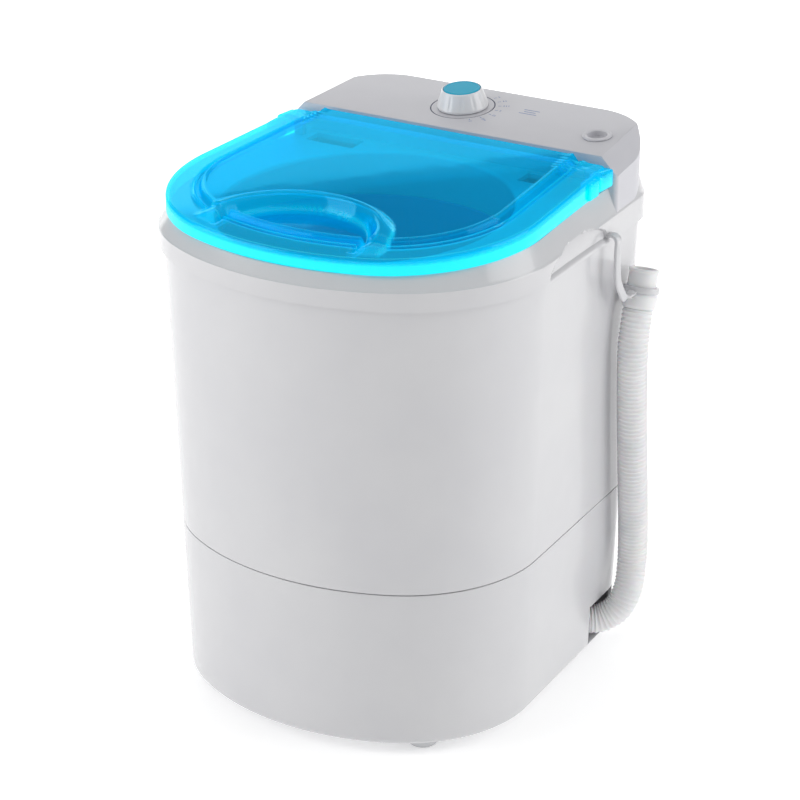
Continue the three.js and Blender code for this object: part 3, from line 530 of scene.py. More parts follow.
def hoseRadius(i):
    along = i * hoseSize["pitch"] / hoseSize["stepsPerRib"]
    wave = 0.5 - 0.5 * math.cos(2 * math.pi * along / hoseSize["pitch"])
    return hoseSize["outer"] / 2 - hoseSize["ribDepth"] * wave ** 0.7


hoseRings = sweepRings(fineRoute, hoseRadius, hoseSize["sides"])
hosePoints, hoseFaces = skin(hoseRings, capStart=True, capEnd=True)
drainHose = newObject("corrugated_drain_hose", hosePoints, hoseFaces, "cabinet", hosePolyethylene, 50,
                      ("drain_hose",))

cuffLine = roundedLine([
    (0.0105, 0.0004, 0), (0.0140, 0.0004, 0.0008), (0.0150, 0.0030, 0.002), (0.0156, 0.0095, 0.002),
    (0.0156, 0.0120, 0.003),
    (0.0132, 0.0165, 0.004), (0.0128, 0.0330, 0.002), (0.0136, 0.0342, 0.001), (0.0136, 0.0362, 0.001),
    (0.0105, 0.0362, 0.001),
    (0.0100, 0.0200, 0.001), (0.0100, 0.0010, 0)], 4)
cuffPoints, cuffFaces = skin(turned(cuffLine, 72, cuffAxis, cuffBase), loop=True)
hoseCuff = newObject("hose_end_cuff", cuffPoints, cuffFaces, "cabinet", hosePolyethylene, 50,
                     ("hose_cuff",))


# Strap that hooks the hose end to the frame: stub, long strip, foot that turns up into the clip.
def stripAlong(points, width, thick, across):
    rings = []
    squareness = 0.45
    for i, p in enumerate(points):
        ahead = (points[min(i + 1, len(points) - 1)] - points[max(i - 1, 0)]).normalized()
        flat = (across - ahead * across.dot(ahead)).normalized()
        deep = ahead.cross(flat)
        ring = []
        for k in range(16):
            a = 2 * math.pi * k / 16
            cx, sx = math.cos(a), math.sin(a)
            ring.append(p + flat * (width / 2) * math.copysign(abs(cx) ** squareness, cx)
                        + deep * (thick / 2) * math.copysign(abs(sx) ** squareness, sx))
        rings.append(np.array(ring))
    return skin(rings, capStart=True, capEnd=True)


hangerSize = {"y": 0.082, "width": 0.0075, "thick": 0.0034, "level": levels["rim"] + 0.007}
wallX = sideAt(bodyPlan, hangerSize["y"]) + 0.0045
strapEnd = cuffBase + Vector((0, -0.0105, 0.019))
top = hangerSize["level"]
strapRoute = routePoints([
    Vector((wallX, hangerSize["y"], top)), Vector((wallX + 0.005, hangerSize["y"], top)),
    Vector((wallX + 0.0082, hangerSize["y"], top - 0.003)),
    Vector((wallX + 0.0084, hangerSize["y"], top - 0.016)),
    Vector((wallX + 0.0082, hangerSize["y"] + 0.002, top - 0.040)),
    Vector((strapEnd.x, strapEnd.y - 0.022, strapEnd.z + 0.006)),
    Vector((strapEnd.x, strapEnd.y - 0.016, strapEnd.z - 0.001)),
    Vector((strapEnd.x, strapEnd.y - 0.008, strapEnd.z - 0.001)), strapEnd], 10)
strapPoints, strapFaces = stripAlong(strapRoute, hangerSize["width"], hangerSize["thick"],
                                     Vector((0.15, 1, 0.1)))
clipLine = roundedLine([(0.0135, 0.0150, 0), (0.0162, 0.0150, 0.0006), (0.0162, 0.0205, 0.0006),
                        (0.0135, 0.0205, 0.0006),
                        (0.0135, 0.0150, 0)], 3)
clipPoints, clipFaces = skin(turned(clipLine, 64, cuffAxis, cuffBase), loop=True)
hangerPoints = np.concatenate([strapPoints, clipPoints])
hangerFaces = strapFaces + [tuple(i + len(strapPoints) for i in f) for f in clipFaces]
hoseHanger = newObject("hose_hanger_strap", hangerPoints, hangerFaces, "cabinet", whiteAbs, 50,
                       ("hose_hanger",))


# ---- lower body

baseSize = {"wall": 0.003, "edge": 0.006, "lip": 0.009, "lipWall": 0.0025}


def wallRings(line):
    rings = []
    for offset, z in line:
        flat = planRing(bodyPlan, offset) * draftAt(z)
        rings.append(np.column_stack([flat, np.full(len(flat), z)]))
    return rings


def stations(low, high, step):
    return list(np.linspace(low, high, max(int(round((high - low) / step)), 1) + 1))[1:-1]


b0, seam = levels["bottom"], levels["seam"]
outerLine = roundedLine([(-0.090, b0, 0), (0, b0, baseSize["edge"]), (0, b0 + 0.02, 0)], 8)
outerLine += [(0, z) for z in stations(b0 + 0.02, seam - 0.002, 0.009)]
wall, lip = baseSize["wall"], baseSize["lip"]
lipIn = wall + baseSize["lipWall"]
outerLine += roundedLine([(0, seam - 0.002, 0), (0, seam, 0.0006), (-wall, seam, 0)], 4)
lipLine = [(-wall, seam + lip), (-lipIn, seam + lip), (-lipIn, seam - lip + 0.001), (-wall, seam - lip)]
innerLine = [(-wall, z) for z in stations(seam - lip, b0 + 0.0035, 0.02)]
innerLine += [(-wall, b0 + 0.0035), (-0.090, b0 + 0.0035)]
basePoints, baseFaces = skin(wallRings(outerLine + lipLine + innerLine), capStart=True, capEnd=True)
baseShell = newObject("cabinet_base", basePoints, baseFaces, "cabinet", whiteAbs, 35, ("base_shell",))
carve(baseShell, [boxCutter((0.12, 0.098, b0 + 0.0035), (0.2, 0.160, b0 + 0.0425))])

casingBottom = seam + levels["seamGap"]
casingLine = roundedLine([(-0.0025, casingBottom, 0), (0, casingBottom, 0.0006),
                          (0, casingBottom + 0.003, 0)], 4)
casingLine += [(0, z) for z in stations(casingBottom + 0.003, 0.428, 0.012)]
casingLine += [(0, 0.428), (-0.0025, 0.428)]
casingLine += [(-0.0025, z) for z in stations(0.428, casingBottom, 0.04)]
casingPoints, casingFaces = skin(wallRings(casingLine), loop=True)
casing = newObject("cabinet_casing", casingPoints, casingFaces, "cabinet", whiteAbs, 35, ("casing",))
carve(casing, [boxCutter((0.14, -0.049, levels["rim"]), (0.25, 0.093, 0.44)),
               boxCutter((-0.25, -0.049, levels["rim"]), (-0.14, 0.093, 0.44))])
print("cabinet walls made")


# ---- top frame: skirt, bead, leaning wall, deck, mouth and hand holds

frameSize = {"holdSpan": 0.118, "holdRise": 0.0215,
             "holdCentre": 0.022, "holdDepth": 0.0125, "mouth": 0.1285, "mouthY": -0.040, "collarEnd": 0.4231}


# One upright line of the frame's outside. 0 is the skirt's bottom edge, 1 the bead, 2 the deck's edge.
frameLine = roundedLine([
    (0.0010, 0.0, 0), (0.0040, 0.0, 0.0008), (0.0040, 1.0, 0.0012), (0.0030, 1.07, 0.001),
    (0.0022, 1.15, 0.002),
    (-0.0060, 2.0, 0.0020), (-0.0120, 2.0, 0)], 5)


def frameLevel(t, y):
    low, bead, deck = levels["rim"], beadAt(y), deckAt(y)
    return np.where(t <= 1, low + (bead - low) * t, bead + (deck - bead) * (t - 1))


def denser(line, step):
    out = [line[0]]
    for a, b in zip(line, line[1:]):
        n = max(int(math.ceil(math.hypot((b[0] - a[0]) / 0.0015, (b[1] - a[1]) / step))), 1)
        out += [(a[0] + (b[0] - a[0]) * k / n, a[1] + (b[1] - a[1]) * k / n) for k in range(1, n + 1)]
    return out


def holdPush(x, y, z):
    u = (y - frameSize["holdCentre"]) / (frameSize["holdSpan"] / 2)
    floor = levels["rim"] + 0.0022
    crest = floor + frameSize["holdRise"] * np.sqrt(np.clip(1 - u * u, 0, 1))
    v = np.clip((z - floor) / np.maximum(crest - floor, 1e-5), 0, 2)
    into = smoothStep(0.0, 0.55, v) * (1 - smoothStep(0.86, 1.0, v)) * np.sqrt(np.clip(1 - u * u, 0, 1))
    return np.where((np.abs(u) < 1) & (z > floor) & (z < crest), frameSize["holdDepth"] * into, 0.0)


frameRings = []
sideCounts = (60, 70, 110, 26, 30)
for offset, t in denser(frameLine, 0.085):
    flat = planRing(bodyPlan, offset, sideCounts)
    z = frameLevel(t, flat[:, 1])
    push = holdPush(flat[:, 0], flat[:, 1], z)
    flat = flat.copy()
    flat[:, 0] -= np.sign(flat[:, 0]) * push
    frameRings.append(np.column_stack([flat, z]))

# The deck runs in from the outer edge to the round mouth, then down the collar.
outerRing = frameRings[-1]
centre = np.array([0.0, frameSize["mouthY"]])
angles = np.arctan2(outerRing[:, 1] - centre[1], outerRing[:, 0] - centre[0])


def mouthRing(radius, level):
    ring = np.column_stack([centre[0] + radius * np.cos(angles), centre[1] + radius * np.sin(angles)])
    z = deckAt(ring[:, 1]) + level if level <= 0 else np.full(len(ring), level)
    return np.column_stack([ring, z])


deckRings = []
for k in range(1, 8):
    s = k / 8
    blend = outerRing * (1 - s) + mouthRing(frameSize["mouth"] + 0.003, 0) * s
    blend[:, 2] = deckAt(blend[:, 1])
    deckRings.append(blend)
for a in np.linspace(0, math.pi / 2, 7):
    deckRings.append(mouthRing(frameSize["mouth"] + 0.003 * (1 - math.sin(a)),
                               -0.003 * (1 - math.cos(a)) - 1e-9))
deckRings += [mouthRing(frameSize["mouth"], frameSize["collarEnd"] + 0.004),
              mouthRing(frameSize["mouth"], frameSize["collarEnd"]),
              mouthRing(frameSize["mouth"] + 0.003, frameSize["collarEnd"])]
underRings = []
for offset, drop in ((-0.016, 0.003), (-0.009, 0.0045)):
    flat = planRing(bodyPlan, offset, sideCounts)
    underRings.append(np.column_stack([flat, deckAt(flat[:, 1]) - drop]))
flat = planRing(bodyPlan, 0.0010, sideCounts)
underRings.append(np.column_stack([flat, beadAt(flat[:, 1]) - 0.003]))
topPoints, topFaces = skin(frameRings + deckRings + underRings, loop=True)
topFrame = newObject("top_frame_and_deck", topPoints, topFaces, "cabinet", whiteAbs, 42, ("top_frame",))

earInner, earOuter = 0.1593, 0.1703
hingeY = levels["hingeY"]
hingeZ = deckAt(hingeY) + levels["hingeLift"]
carve(topFrame, [
    boxCutter((earInner - 0.0009, hingeY - 0.022, hingeZ - 0.016), (0.2, 0.0965, 0.53)),
    boxCutter((-0.2, hingeY - 0.022, hingeZ - 0.016), (-earInner + 0.0009, 0.0965, 0.53)),
    boxCutter((-0.140, 0.070, 0.4522), (-0.088, 0.090, 0.5)),
    boxCutter((0.086, 0.070, 0.4522), (0.104, 0.090, 0.5))], 42)


def roundedBlock(low, high, radius, segments=3):
    work = bmesh.new()
    bmesh.ops.create_cube(work, size=1)
    size = Vector(high) - Vector(low)
    middle = (Vector(high) + Vector(low)) / 2
    bmesh.ops.transform(work, matrix=Matrix.Translation(middle) @ Matrix.Diagonal((*size, 1)),
                        verts=work.verts)
    bmesh.ops.bevel(work, geom=work.edges[:], offset=radius, segments=segments, profile=0.5, affect="EDGES")
    points = np.array([v.co for v in work.verts])
    work.verts.index_update()
    faces = [tuple(v.index for v in f.verts) for f in work.faces]
    work.free()
    return points, faces


def merged(*parts):
    points, faces, start = [], [], 0
    for p, f in parts:
        points.append(np.array(p))
        faces += [tuple(i + start for i in face) for face in f]
        start += len(p)
    return np.concatenate(points), faces


lugSize = {"inner": 0.1483, "outer": 0.1583, "half": 0.0032, "edge": 0.0012}
lugParts = []
for side in (-1, 1):
    x0, x1 = sorted((side * lugSize["inner"], side * lugSize["outer"]))
    low, half = deckAt(hingeY) - 0.0005, lugSize["half"]
    lugParts.append(roundedBlock((x0, hingeY - half, low), (x1, hingeY + half, hingeZ + half),
                                 lugSize["edge"]))
lugPoints, lugFaces = merged(*lugParts)
newObject("hinge_lugs", lugPoints, lugFaces, "cabinet", whiteAbs, 45, ())

trayParts = []
traySize = {"front": 0.070, "rear": 0.090, "floor": 0.4495, "top": 0.4600, "wall": 0.0018}
for x0, x1 in ((-0.140, -0.088), (0.086, 0.104)):
    y0, y1, w = traySize["front"], traySize["rear"], traySize["wall"]
    low, high = traySize["floor"] - 0.001, traySize["top"]
    trayParts.append(roundedBlock((x0 - w, y0 - w, low - 0.001), (x1 + w, y1 + w, low + 0.001), 0.0005, 1))
    trayParts.append(roundedBlock((x0 - w, y0 - w, low), (x0, y1 + w, high), 0.0005, 1))
    trayParts.append(roundedBlock((x1, y0 - w, low), (x1 + w, y1 + w, high), 0.0005, 1))
    trayParts.append(roundedBlock((x0, y0 - w, low), (x1, y0, high), 0.0005, 1))
    trayParts.append(roundedBlock((x0, y1, low), (x1, y1 + w, high), 0.0005, 1))
trayPoints, trayFaces = merged(*trayParts)
newObject("deck_trays", trayPoints, trayFaces, "cabinet", satinAbs, 45, ())
print("top frame made")


# ---- control panel

consoleSize = {"front": 0.0968, "low": 0.4405, "crease": 0.1435, "rearCorner": 0.062, "chamfer": 0.016,
               "chamferLeft": 0.011, "edge": 0.0045, "endCorner": 0.004, "standOff": 0.0031}


def consoleOutline():
    ring = planRing({**bodyPlan, "rearCorner": consoleSize["rearCorner"]}, consoleSize["standOff"],
                    (60, 60, 70, 40, 40))
    start = consoleSize["front"]
    rear = [tuple(p) for p in ring if p[1] > start + 0.004]
    rear.sort(key=lambda p: math.atan2(p[1] - start, p[0]))
    endX = sideAt(bodyPlan, start) + consoleSize["standOff"]
    r = consoleSize["endCorner"]
    left, right = [], []
    for k in range(6):
        a = math.pi / 2 * k / 5
        left.append((-endX + r - r * math.cos(a), start + r - r * math.sin(a)))
        right.append((endX - r + r * math.sin(a), start + r - r * math.cos(a)))
    return [tuple(p) for p in left] + right + rear


def consoleMesh():
    outline = consoleOutline()
    low, high = consoleSize["low"], 0.53
    n = len(outline)
    points = [(x, y, low + levels["beadSlope"] * (y - 0.12)) for x, y in outline]
    points += [(x, y, high) for x, y in outline]
    faces = [tuple(range(n))[::-1], tuple(range(n, 2 * n))]
    faces += [(i, (i + 1) % n, n + (i + 1) % n, n + i) for i in range(n)]
    work = bmesh.new()
    verts = [work.verts.new(p) for p in points]
    for face in faces:
        work.faces.new([verts[i] for i in face])
    bmesh.ops.recalc_face_normals(work, faces=work.faces)
    planes = [((0, consoleSize["crease"], panelAt(consoleSize["crease"])),
               Vector((0, -levels["panelSlope"], 1)).normalized())]
    lean = bodyPlan["lean"]
    for side in (-1, 1):
        normal = Matrix.Rotation(side * lean, 3, "Z") @ Vector((side * 0.70, -0.080, 0.70))
        y = consoleSize["crease"]
        depth = consoleSize["chamfer"] if side > 0 else consoleSize["chamferLeft"]
        x = side * (sideAt(bodyPlan, y) + consoleSize["standOff"] - depth / 2)
        planes.append(((x, y, panelAt(y) - depth / 2), normal.normalized()))
    for spot, normal in planes:
        cut = bmesh.ops.bisect_plane(work, geom=work.verts[:] + work.edges[:] + work.faces[:], plane_co=spot,
                                     plane_no=normal, clear_outer=True, dist=1e-7)
        rim = [e for e in cut["geom_cut"] if isinstance(e, bmesh.types.BMEdge)]
        bmesh.ops.holes_fill(work, edges=rim, sides=0)
    bmesh.ops.remove_doubles(work, verts=work.verts, dist=5e-6)
    sharp = [e for e in work.edges if len(e.link_faces) == 2 and e.calc_face_angle(0) > math.radians(22)
             and min(v.co.z for v in e.verts) > low + 0.01]
    bmesh.ops.bevel(work, geom=sharp, offset=consoleSize["edge"], segments=5, profile=0.5, affect="EDGES",
                    clamp_overlap=True)
    work.verts.index_update()
    points = np.array([v.co for v in work.verts])
    faces = [tuple(v.index for v in f.verts) for f in work.faces]
    work.free()
    return points, faces


panelTilt = math.atan(levels["panelSlope"])
panelNormal = Vector((0, -math.sin(panelTilt), math.cos(panelTilt)))
knobSpot = Vector((-0.018, 0.147, panelAt(0.147)))
portSpot = Vector((0.129, 0.135, panelAt(0.135)))

consolePoints, consoleFaces = consoleMesh()
console = newObject("control_panel_cover", consolePoints, consoleFaces, "cabinet", satinAbs, 30,
                    ("control_panel",))
borePoints, boreFaces = skin(turned([(0.0103, -0.012), (0.0103, 0.01)], 64, panelNormal, portSpot),
                             capStart=True, capEnd=True)
grooveRing = roundedLine([(0.0288, 0.003, 0), (0.0288, -0.0009, 0), (0.0300, -0.0009, 0), (0.0300, 0.003, 0),
                          (0.0288, 0.003, 0)], 1)
groovePoints, grooveFaces = skin(turned(grooveRing, 96, panelNormal, knobSpot), loop=True)
carve(console, [plainCutter(borePoints, boreFaces), plainCutter(groovePoints, grooveFaces)], 30)

portLine = roundedLine([(0.0099, -0.0088, 0), (0.0099, 0.0003, 0), (0.0134, 0.0003, 0.0002),
                        (0.0134, 0.0014, 0.0008),
                        (0.0118, 0.0021, 0.0010), (0.0090, 0.0016, 0.0008), (0.0083, -0.0038, 0.0012),
                        (0.0040, -0.0044, 0.001),
                        (0.0001, -0.0040, 0)], 4)
portPoints, portFaces = skin(turned(portLine, 72, panelNormal, portSpot), capStart=True, capEnd=True)
newObject("water_inlet_port", portPoints, portFaces, "cabinet", satinAbs, 40, ("inlet_port",))


# Timer knob: a tapered skirt with shallow finger flutes and a coloured cap let into the top.
knobSize = {"base": 0.0237, "rim": 0.0176, "height": 0.0180, "cap": 0.0167, "bore": 0.0042, "flutes": 12,
            "fluteDepth": 0.00045, "sides": 192}


def knobMesh():
    base, rim, high, bore = (knobSize[k] for k in ("base", "rim", "height", "bore"))
    line = roundedLine([(bore, 0.0006, 0), (base - 0.0005, 0.0006, 0.0005), (base, 0.0026, 0.001),
                        (rim + 0.0010, high - 0.0010, 0.0012), (rim, high, 0.0008),
                        (rim - 0.0005, high - 0.0014, 0.0003), (rim - 0.0005, high - 0.0022, 0),
                        (bore, high - 0.0022, 0)], 5)
    turn = Vector((0, 0, 1)).rotation_difference(panelNormal).to_matrix()
    rings = []
    for r, z in denser(line, 0.0016):
        ring = []
        for i in range(knobSize["sides"]):
            a = 2 * math.pi * i / knobSize["sides"]
            onWall = float(smoothStep(0.003, 0.005, z) * (1
                                                          - smoothStep(0.0145, 0.0162,
                                                          z))) if r > rim + 0.0002 else 0.0
            wave = max(math.cos(a * knobSize["flutes"]), 0) ** 3
            radius = r - knobSize["fluteDepth"] * wave * onWall
            ring.append(knobSpot + turn @ Vector((radius * math.cos(a), radius * math.sin(a), z)))
        rings.append(np.array(ring))
    return skin(rings, loop=True)


knobPoints, knobFaces = knobMesh()
newObject("timer_knob_skirt", knobPoints, knobFaces, "timer_knob", knobAbs, 40, ("timer_knob",))
cap, seat = knobSize["cap"], knobSize["height"] - 0.0021
capLine = roundedLine([(0.0001, seat, 0), (cap, seat, 0), (cap, seat + 0.0015, 0.0004),
                       (cap - 0.0011, seat + 0.0025, 0.0006), (cap - 0.0029, seat + 0.0022, 0.001),
                       (0.0001, seat + 0.0026, 0)], 5)
capPoints, capFaces = skin(turned(capLine, 96, panelNormal, knobSpot), capStart=True, capEnd=True)
newObject("timer_knob_cap", capPoints, capFaces, "timer_knob", capAbs, 40, ("knob_cap",))


# Printed dial: a thin dark ring and short strokes with small marks, lying just on the panel.
def onPanel(u, v, lift):
    across = Vector((1, 0, 0))
    back = panelNormal.cross(across)
    return knobSpot + across * u + back * v + panelNormal * lift


def flatStroke(centreUV, angle, length, width, lift=0.00008):
    c, s = math.cos(angle), math.sin(angle)
    corners = [(-length / 2, -width / 2), (length / 2, -width / 2), (length / 2, width / 2),
               (-length / 2, width / 2)]
    base = [onPanel(centreUV[0] + a * c - b * s, centreUV[1] + a * s + b * c, 0.00002) for a, b in corners]
    high = [onPanel(centreUV[0] + a * c - b * s, centreUV[1] + a * s + b * c, lift) for a, b in corners]
    return base + high, [(3, 2, 1, 0), (4, 5, 6, 7), (0, 1, 5, 4), (1, 2, 6, 5), (2, 3, 7, 6), (3, 0, 4, 7)]


dial = {"first": 60, "last": -48, "steps": 7, "tickIn": 0.0325, "tickOut": 0.0355, "barIn": 0.0380}
dialParts = []
for i in range(dial["steps"]):
    a = math.radians(dial["first"] + (dial["last"] - dial["first"]) * i / (dial["steps"] - 1))
    middle = (dial["tickIn"] + dial["tickOut"]) / 2
    dialParts.append(flatStroke((middle * math.cos(a), middle * math.sin(a)), a,
                                dial["tickOut"] - dial["tickIn"], 0.0006))
    for k in range(1 + i % 3):
        r = dial["barIn"] + 0.0022 * k
        dialParts.append(flatStroke((r * math.cos(a), r * math.sin(a)), a + math.pi / 2, 0.0030 - 0.0005 * k,
                                    0.0007))
for k, length in enumerate((0.016, 0.012, 0.018)):
    dialParts.append(flatStroke((0.064, 0.016 - 0.0042 * k), 0.0, length, 0.0009))
dialPoints, dialFaces = merged(*dialParts)
newObject("dial_print", dialPoints, dialFaces, "cabinet", dialInk, 30, ())
ringLine = [(0.0289, -0.00085), (0.0299, -0.00085), (0.0299, -0.00035), (0.0289, -0.00035)]
ringPoints, ringFaces = skin(turned(ringLine, 96, panelNormal, knobSpot), loop=True)
newObject("dial_ring_print", ringPoints, ringFaces, "cabinet", ringInk, 30, ())
print("control panel made")


# ---- lid

lidSize = {"height": 0.0134, "wall": 0.003, "ridgeIn": 0.0240, "stepIn": 0.0285, "panel": 0.0170,
           "archX": 0.093, "archY": 0.071, "archCentre": -0.150, "innerX": 0.066, "innerY": 0.058,
           "pocketFloor": 0.0075, "roll": 0.0038}


# Finger pocket between two half ellipses. w runs from 0 at the outer one to 1 at the inner one.
def archAt(x, y):
    s = lidSize
    up = np.maximum(y - s["archCentre"], 0)
    outer = np.sqrt((x / s["archX"]) ** 2 + (up / s["archY"]) ** 2)
    inner = np.sqrt((x / s["innerX"]) ** 2 + (up / s["innerY"]) ** 2)
    between = (1 - outer) / np.maximum((1 - outer) + (inner - 1), 1e-6)
    w = np.where(inner <= 1, 1.0, np.clip(between, 0, 1))
    return outer, inner, np.where(outer >= 1, 0.0, w)


def lidHeight(x, y):
    s = lidSize
    d = insetOf(lidPlan, x, y)
    edge = np.clip((0.0022 - d) / 0.0022, 0, 1)
    flange = s["height"] - 0.0022 * (1 - np.sqrt(np.clip(1 - edge * edge, 0, 1)))
    step = flange + (s["panel"] - s["height"]) * smoothStep(s["stepIn"], s["stepIn"] + 0.0030, d)
    beadOne = 0.0019 * np.exp(-((d - s["ridgeIn"]) / 0.0012) ** 2)
    beadTwo = 0.0010 * np.exp(-((d - s["stepIn"] - 0.0042) / 0.0013) ** 2)
    plain = step + beadOne + beadTwo
    outer, inner, w = archAt(x, y)
    sink = smoothStep(0.50, 1.0, w)
    roll = s["roll"] * np.sin(math.pi * np.clip(w / 0.78, 0, 1)) ** 0.8
    band = step * (1 - sink) + s["pocketFloor"] * sink + roll
    bandShare = smoothStep(0.0100, 0.0170, d)
    floorShare = smoothStep(0.0345, 0.0400, d)
    inFloor = smoothStep(0.80, 1.0, w)
    share = (bandShare * (1 - inFloor) + floorShare * inFloor) * (outer < 1)
    return plain * (1 - share) + band * share


def lidRings():
    insets = list(np.arange(0, 0.0024, 0.0003)) + list(np.arange(0.0026, 0.0220, 0.0016))
    insets += list(np.arange(0.0222, 0.0360, 0.00055)) + list(np.arange(0.0364, 0.1190, 0.00125))
    counts = (120, 70, 60, 8, 60)
    topSide, underSide = [], []
    for inset in insets:
        flat = planRing(lidPlan, -inset, counts)
        z = lidHeight(flat[:, 0], flat[:, 1])
        topSide.append(np.column_stack([flat, z]))
        if inset > lidSize["wall"]:
            underSide.append(np.column_stack([flat, z - lidSize["wall"]]))
    skirt = []
    wall = lidSize["wall"]
    for inset, z in ((wall, 0.0004), (wall - 0.0004, 0.0), (0.0004, 0.0), (0.0, 0.0004), (0.0, 0.004),
                     (0.0, 0.0075), (0.0, 0.0105)):
        flat = planRing(lidPlan, -inset, counts)
        skirt.append(np.column_stack([flat, np.full(len(flat), z)]))
    n = len(skirt[0])
    rings = topSide[::-1] + skirt[::-1]
    rings += [np.column_stack([planRing(lidPlan, -wall, counts), np.full(n, 0.0095)])] + underSide
    out = []
    for ring in rings:
        ring = ring.copy()
        x, y = np.abs(ring[:, 0]), ring[:, 1]
        isBack = y > hingeY - 0.008  # the skirt stops short here, so that the opened lid clears the panel
        ring[:, 2] = np.where(isBack & (x < 0.1575), np.maximum(ring[:, 2], 0.0104), ring[:, 2])
        ring[:, 2] = ring[:, 2] * swellAt(y) + lidAt(y)
        ring[:, 2] = np.where(isBack & (x >= 0.1575), np.maximum(ring[:, 2], hingeZ - 0.0105), ring[:, 2])
        overLug = (y > hingeY - 0.0065) & (x > lugSize["inner"] - 0.0028) & (x < lugSize["outer"] + 0.0020)
        ring[:, 2] = np.where(overLug, np.maximum(ring[:, 2], hingeZ + 0.0038), ring[:, 2])
        out.append(ring)
    return out


lidPoints, lidFaces = skin(lidRings(), capStart=True, capEnd=True)
earParts = []
for side in (-1, 1):
    x0, x1 = sorted((side * earInner, side * earOuter))
    wing = roundedBlock((x0, hingeY - 0.030, 0.0006), (x1, hingeY - 0.0142, 0.0122), 0.0016)
    wing[0][:, 2] = wing[0][:, 2] * swellAt(wing[0][:, 1]) + lidAt(wing[0][:, 1])
    knuckle = roundedBlock((x0, hingeY - 0.0140, hingeZ - 0.0115), (x1, hingeY + 0.0105, hingeZ + 0.0045),
                           0.0022)
    earParts += [wing, knuckle]
lidPoints, lidFaces = merged((lidPoints, lidFaces), *earParts)
lid = newObject("tinted_lid", lidPoints, lidFaces, "lid", lidAcrylic, 40, ("lid",))


# Painted glow: the upright edge and the crests are marked on the mesh, so that the lid paints bright glow
# lines there.
def markPaintedGlow(piece):
    place = np.array([piece.matrix_world @ v.co for v in piece.data.vertices])
    x, y, z = place.T
    local = (z - lidAt(y)) / swellAt(y)
    d = insetOf(lidPlan, x, y)
    # Painted glow over the upright skirt.
    skirtPaintedGlow = (1 - smoothStep(0.0080, 0.0112, local)) * (d < 0.0045)

    def lineAt(inset, halfWidth):
        return np.exp(-((d - inset) / halfWidth) ** 2)

    # Painted highlights: bright lines along both bead crests, a painted glow over the flange and a painted
    # highlight line at the lid's top outer corner.
    crest = 0.45 * lineAt(lidSize["ridgeIn"], 0.0011) * (local > 0.011)
    crest = np.maximum(crest, 0.30 * lineAt(lidSize["stepIn"] + 0.0042, 0.0010) * (local > 0.011))
    crest = np.maximum(crest, 0.30 * (d < 0.021) * (local > 0.0105))
    crest = np.maximum(crest, 0.55 * lineAt(0.0022, 0.0012) * (local > 0.0115))
    # Painted highlight over the finger pocket's band, brighter along its two crests.
    outer, inner, w = archAt(x, y)
    onBand = (outer < 1) * (inner > 1) * (d > 0.012)
    outerCrestPaintedHighlight = 0.40 * np.exp(-((w - 0.06) / 0.05) ** 2)
    innerCrestPaintedHighlight = 0.35 * np.exp(-((w - 0.86) / 0.06) ** 2)
    archPaintedHighlight = (0.16 + outerCrestPaintedHighlight + innerCrestPaintedHighlight) * onBand
    paintedGlow = piece.data.attributes.new("paintedGlowLines", "FLOAT", "POINT")
    values = np.clip(np.maximum(skirtPaintedGlow, np.maximum(crest, archPaintedHighlight)), 0, 1)
    paintedGlow.data.foreach_set("value", values.astype(np.float32))


markPaintedGlow(lid)
print("lid made")


# ---- tub and pulsator

tubSize = {"centreY": -0.040, "top": 0.4228, "radius": 0.128, "floorRadius": 0.121, "floor": 0.1738,
           "recess": 0.082,
           "recessFloor": 0.1598, "wall": 0.0025, "ribs": 24}
t = tubSize
tubBase = Vector((0, t["centreY"], 0))
tubLine = roundedLine([
    (0.0080, t["recessFloor"], 0), (t["recess"], t["recessFloor"], 0.004), (t["recess"], t["floor"], 0.003),
    (t["floorRadius"] - 0.002, t["floor"], 0.012), (t["radius"], t["top"], 0.0012),
    (t["radius"] + 0.013, t["top"], 0.0008),
    (t["radius"] + 0.013, t["top"] - 0.0025, 0.0004), (t["radius"] + 0.0026, t["top"] - 0.0025, 0.001),
    (t["floorRadius"] + 0.0005, t["floor"] - 0.0025, 0.012),
    (t["recess"] + 0.0025, t["floor"] - 0.0025, 0.002),
    (t["recess"] + 0.0025, t["recessFloor"] - 0.0025, 0.003), (0.0080, t["recessFloor"] - 0.0025, 0)], 6)


def tubRings():
    rings = []
    sides = 288
    for r, z in denser(tubLine, 0.012):
        ring = []
        for i in range(sides):
            a = 2 * math.pi * i / sides
            onWall = float(smoothStep(t["floor"] + 0.012, t["floor"] + 0.03,
                                      z) * (1 - smoothStep(0.395, 0.408, z)))
            rib = max(math.cos(a * t["ribs"]), 0) ** 6
            shift = 0.0022 * rib * onWall if r < t["radius"] + 0.001 else 0.0
            ring.append((tubBase.x + (r - shift) * math.cos(a), tubBase.y + (r - shift) * math.sin(a), z))
        rings.append(np.array(ring))
    return rings


tubPoints, tubFaces = skin(tubRings(), loop=True)
newObject("wash_tub_liner", tubPoints, tubFaces, "cabinet", tubPolypropylene, 40, ("wash_tub",))

pulsatorSize = {"floor": 0.1618, "vanes": 6, "vaneHigh": 0.010, "sweep": 9.0, "sides": 288}


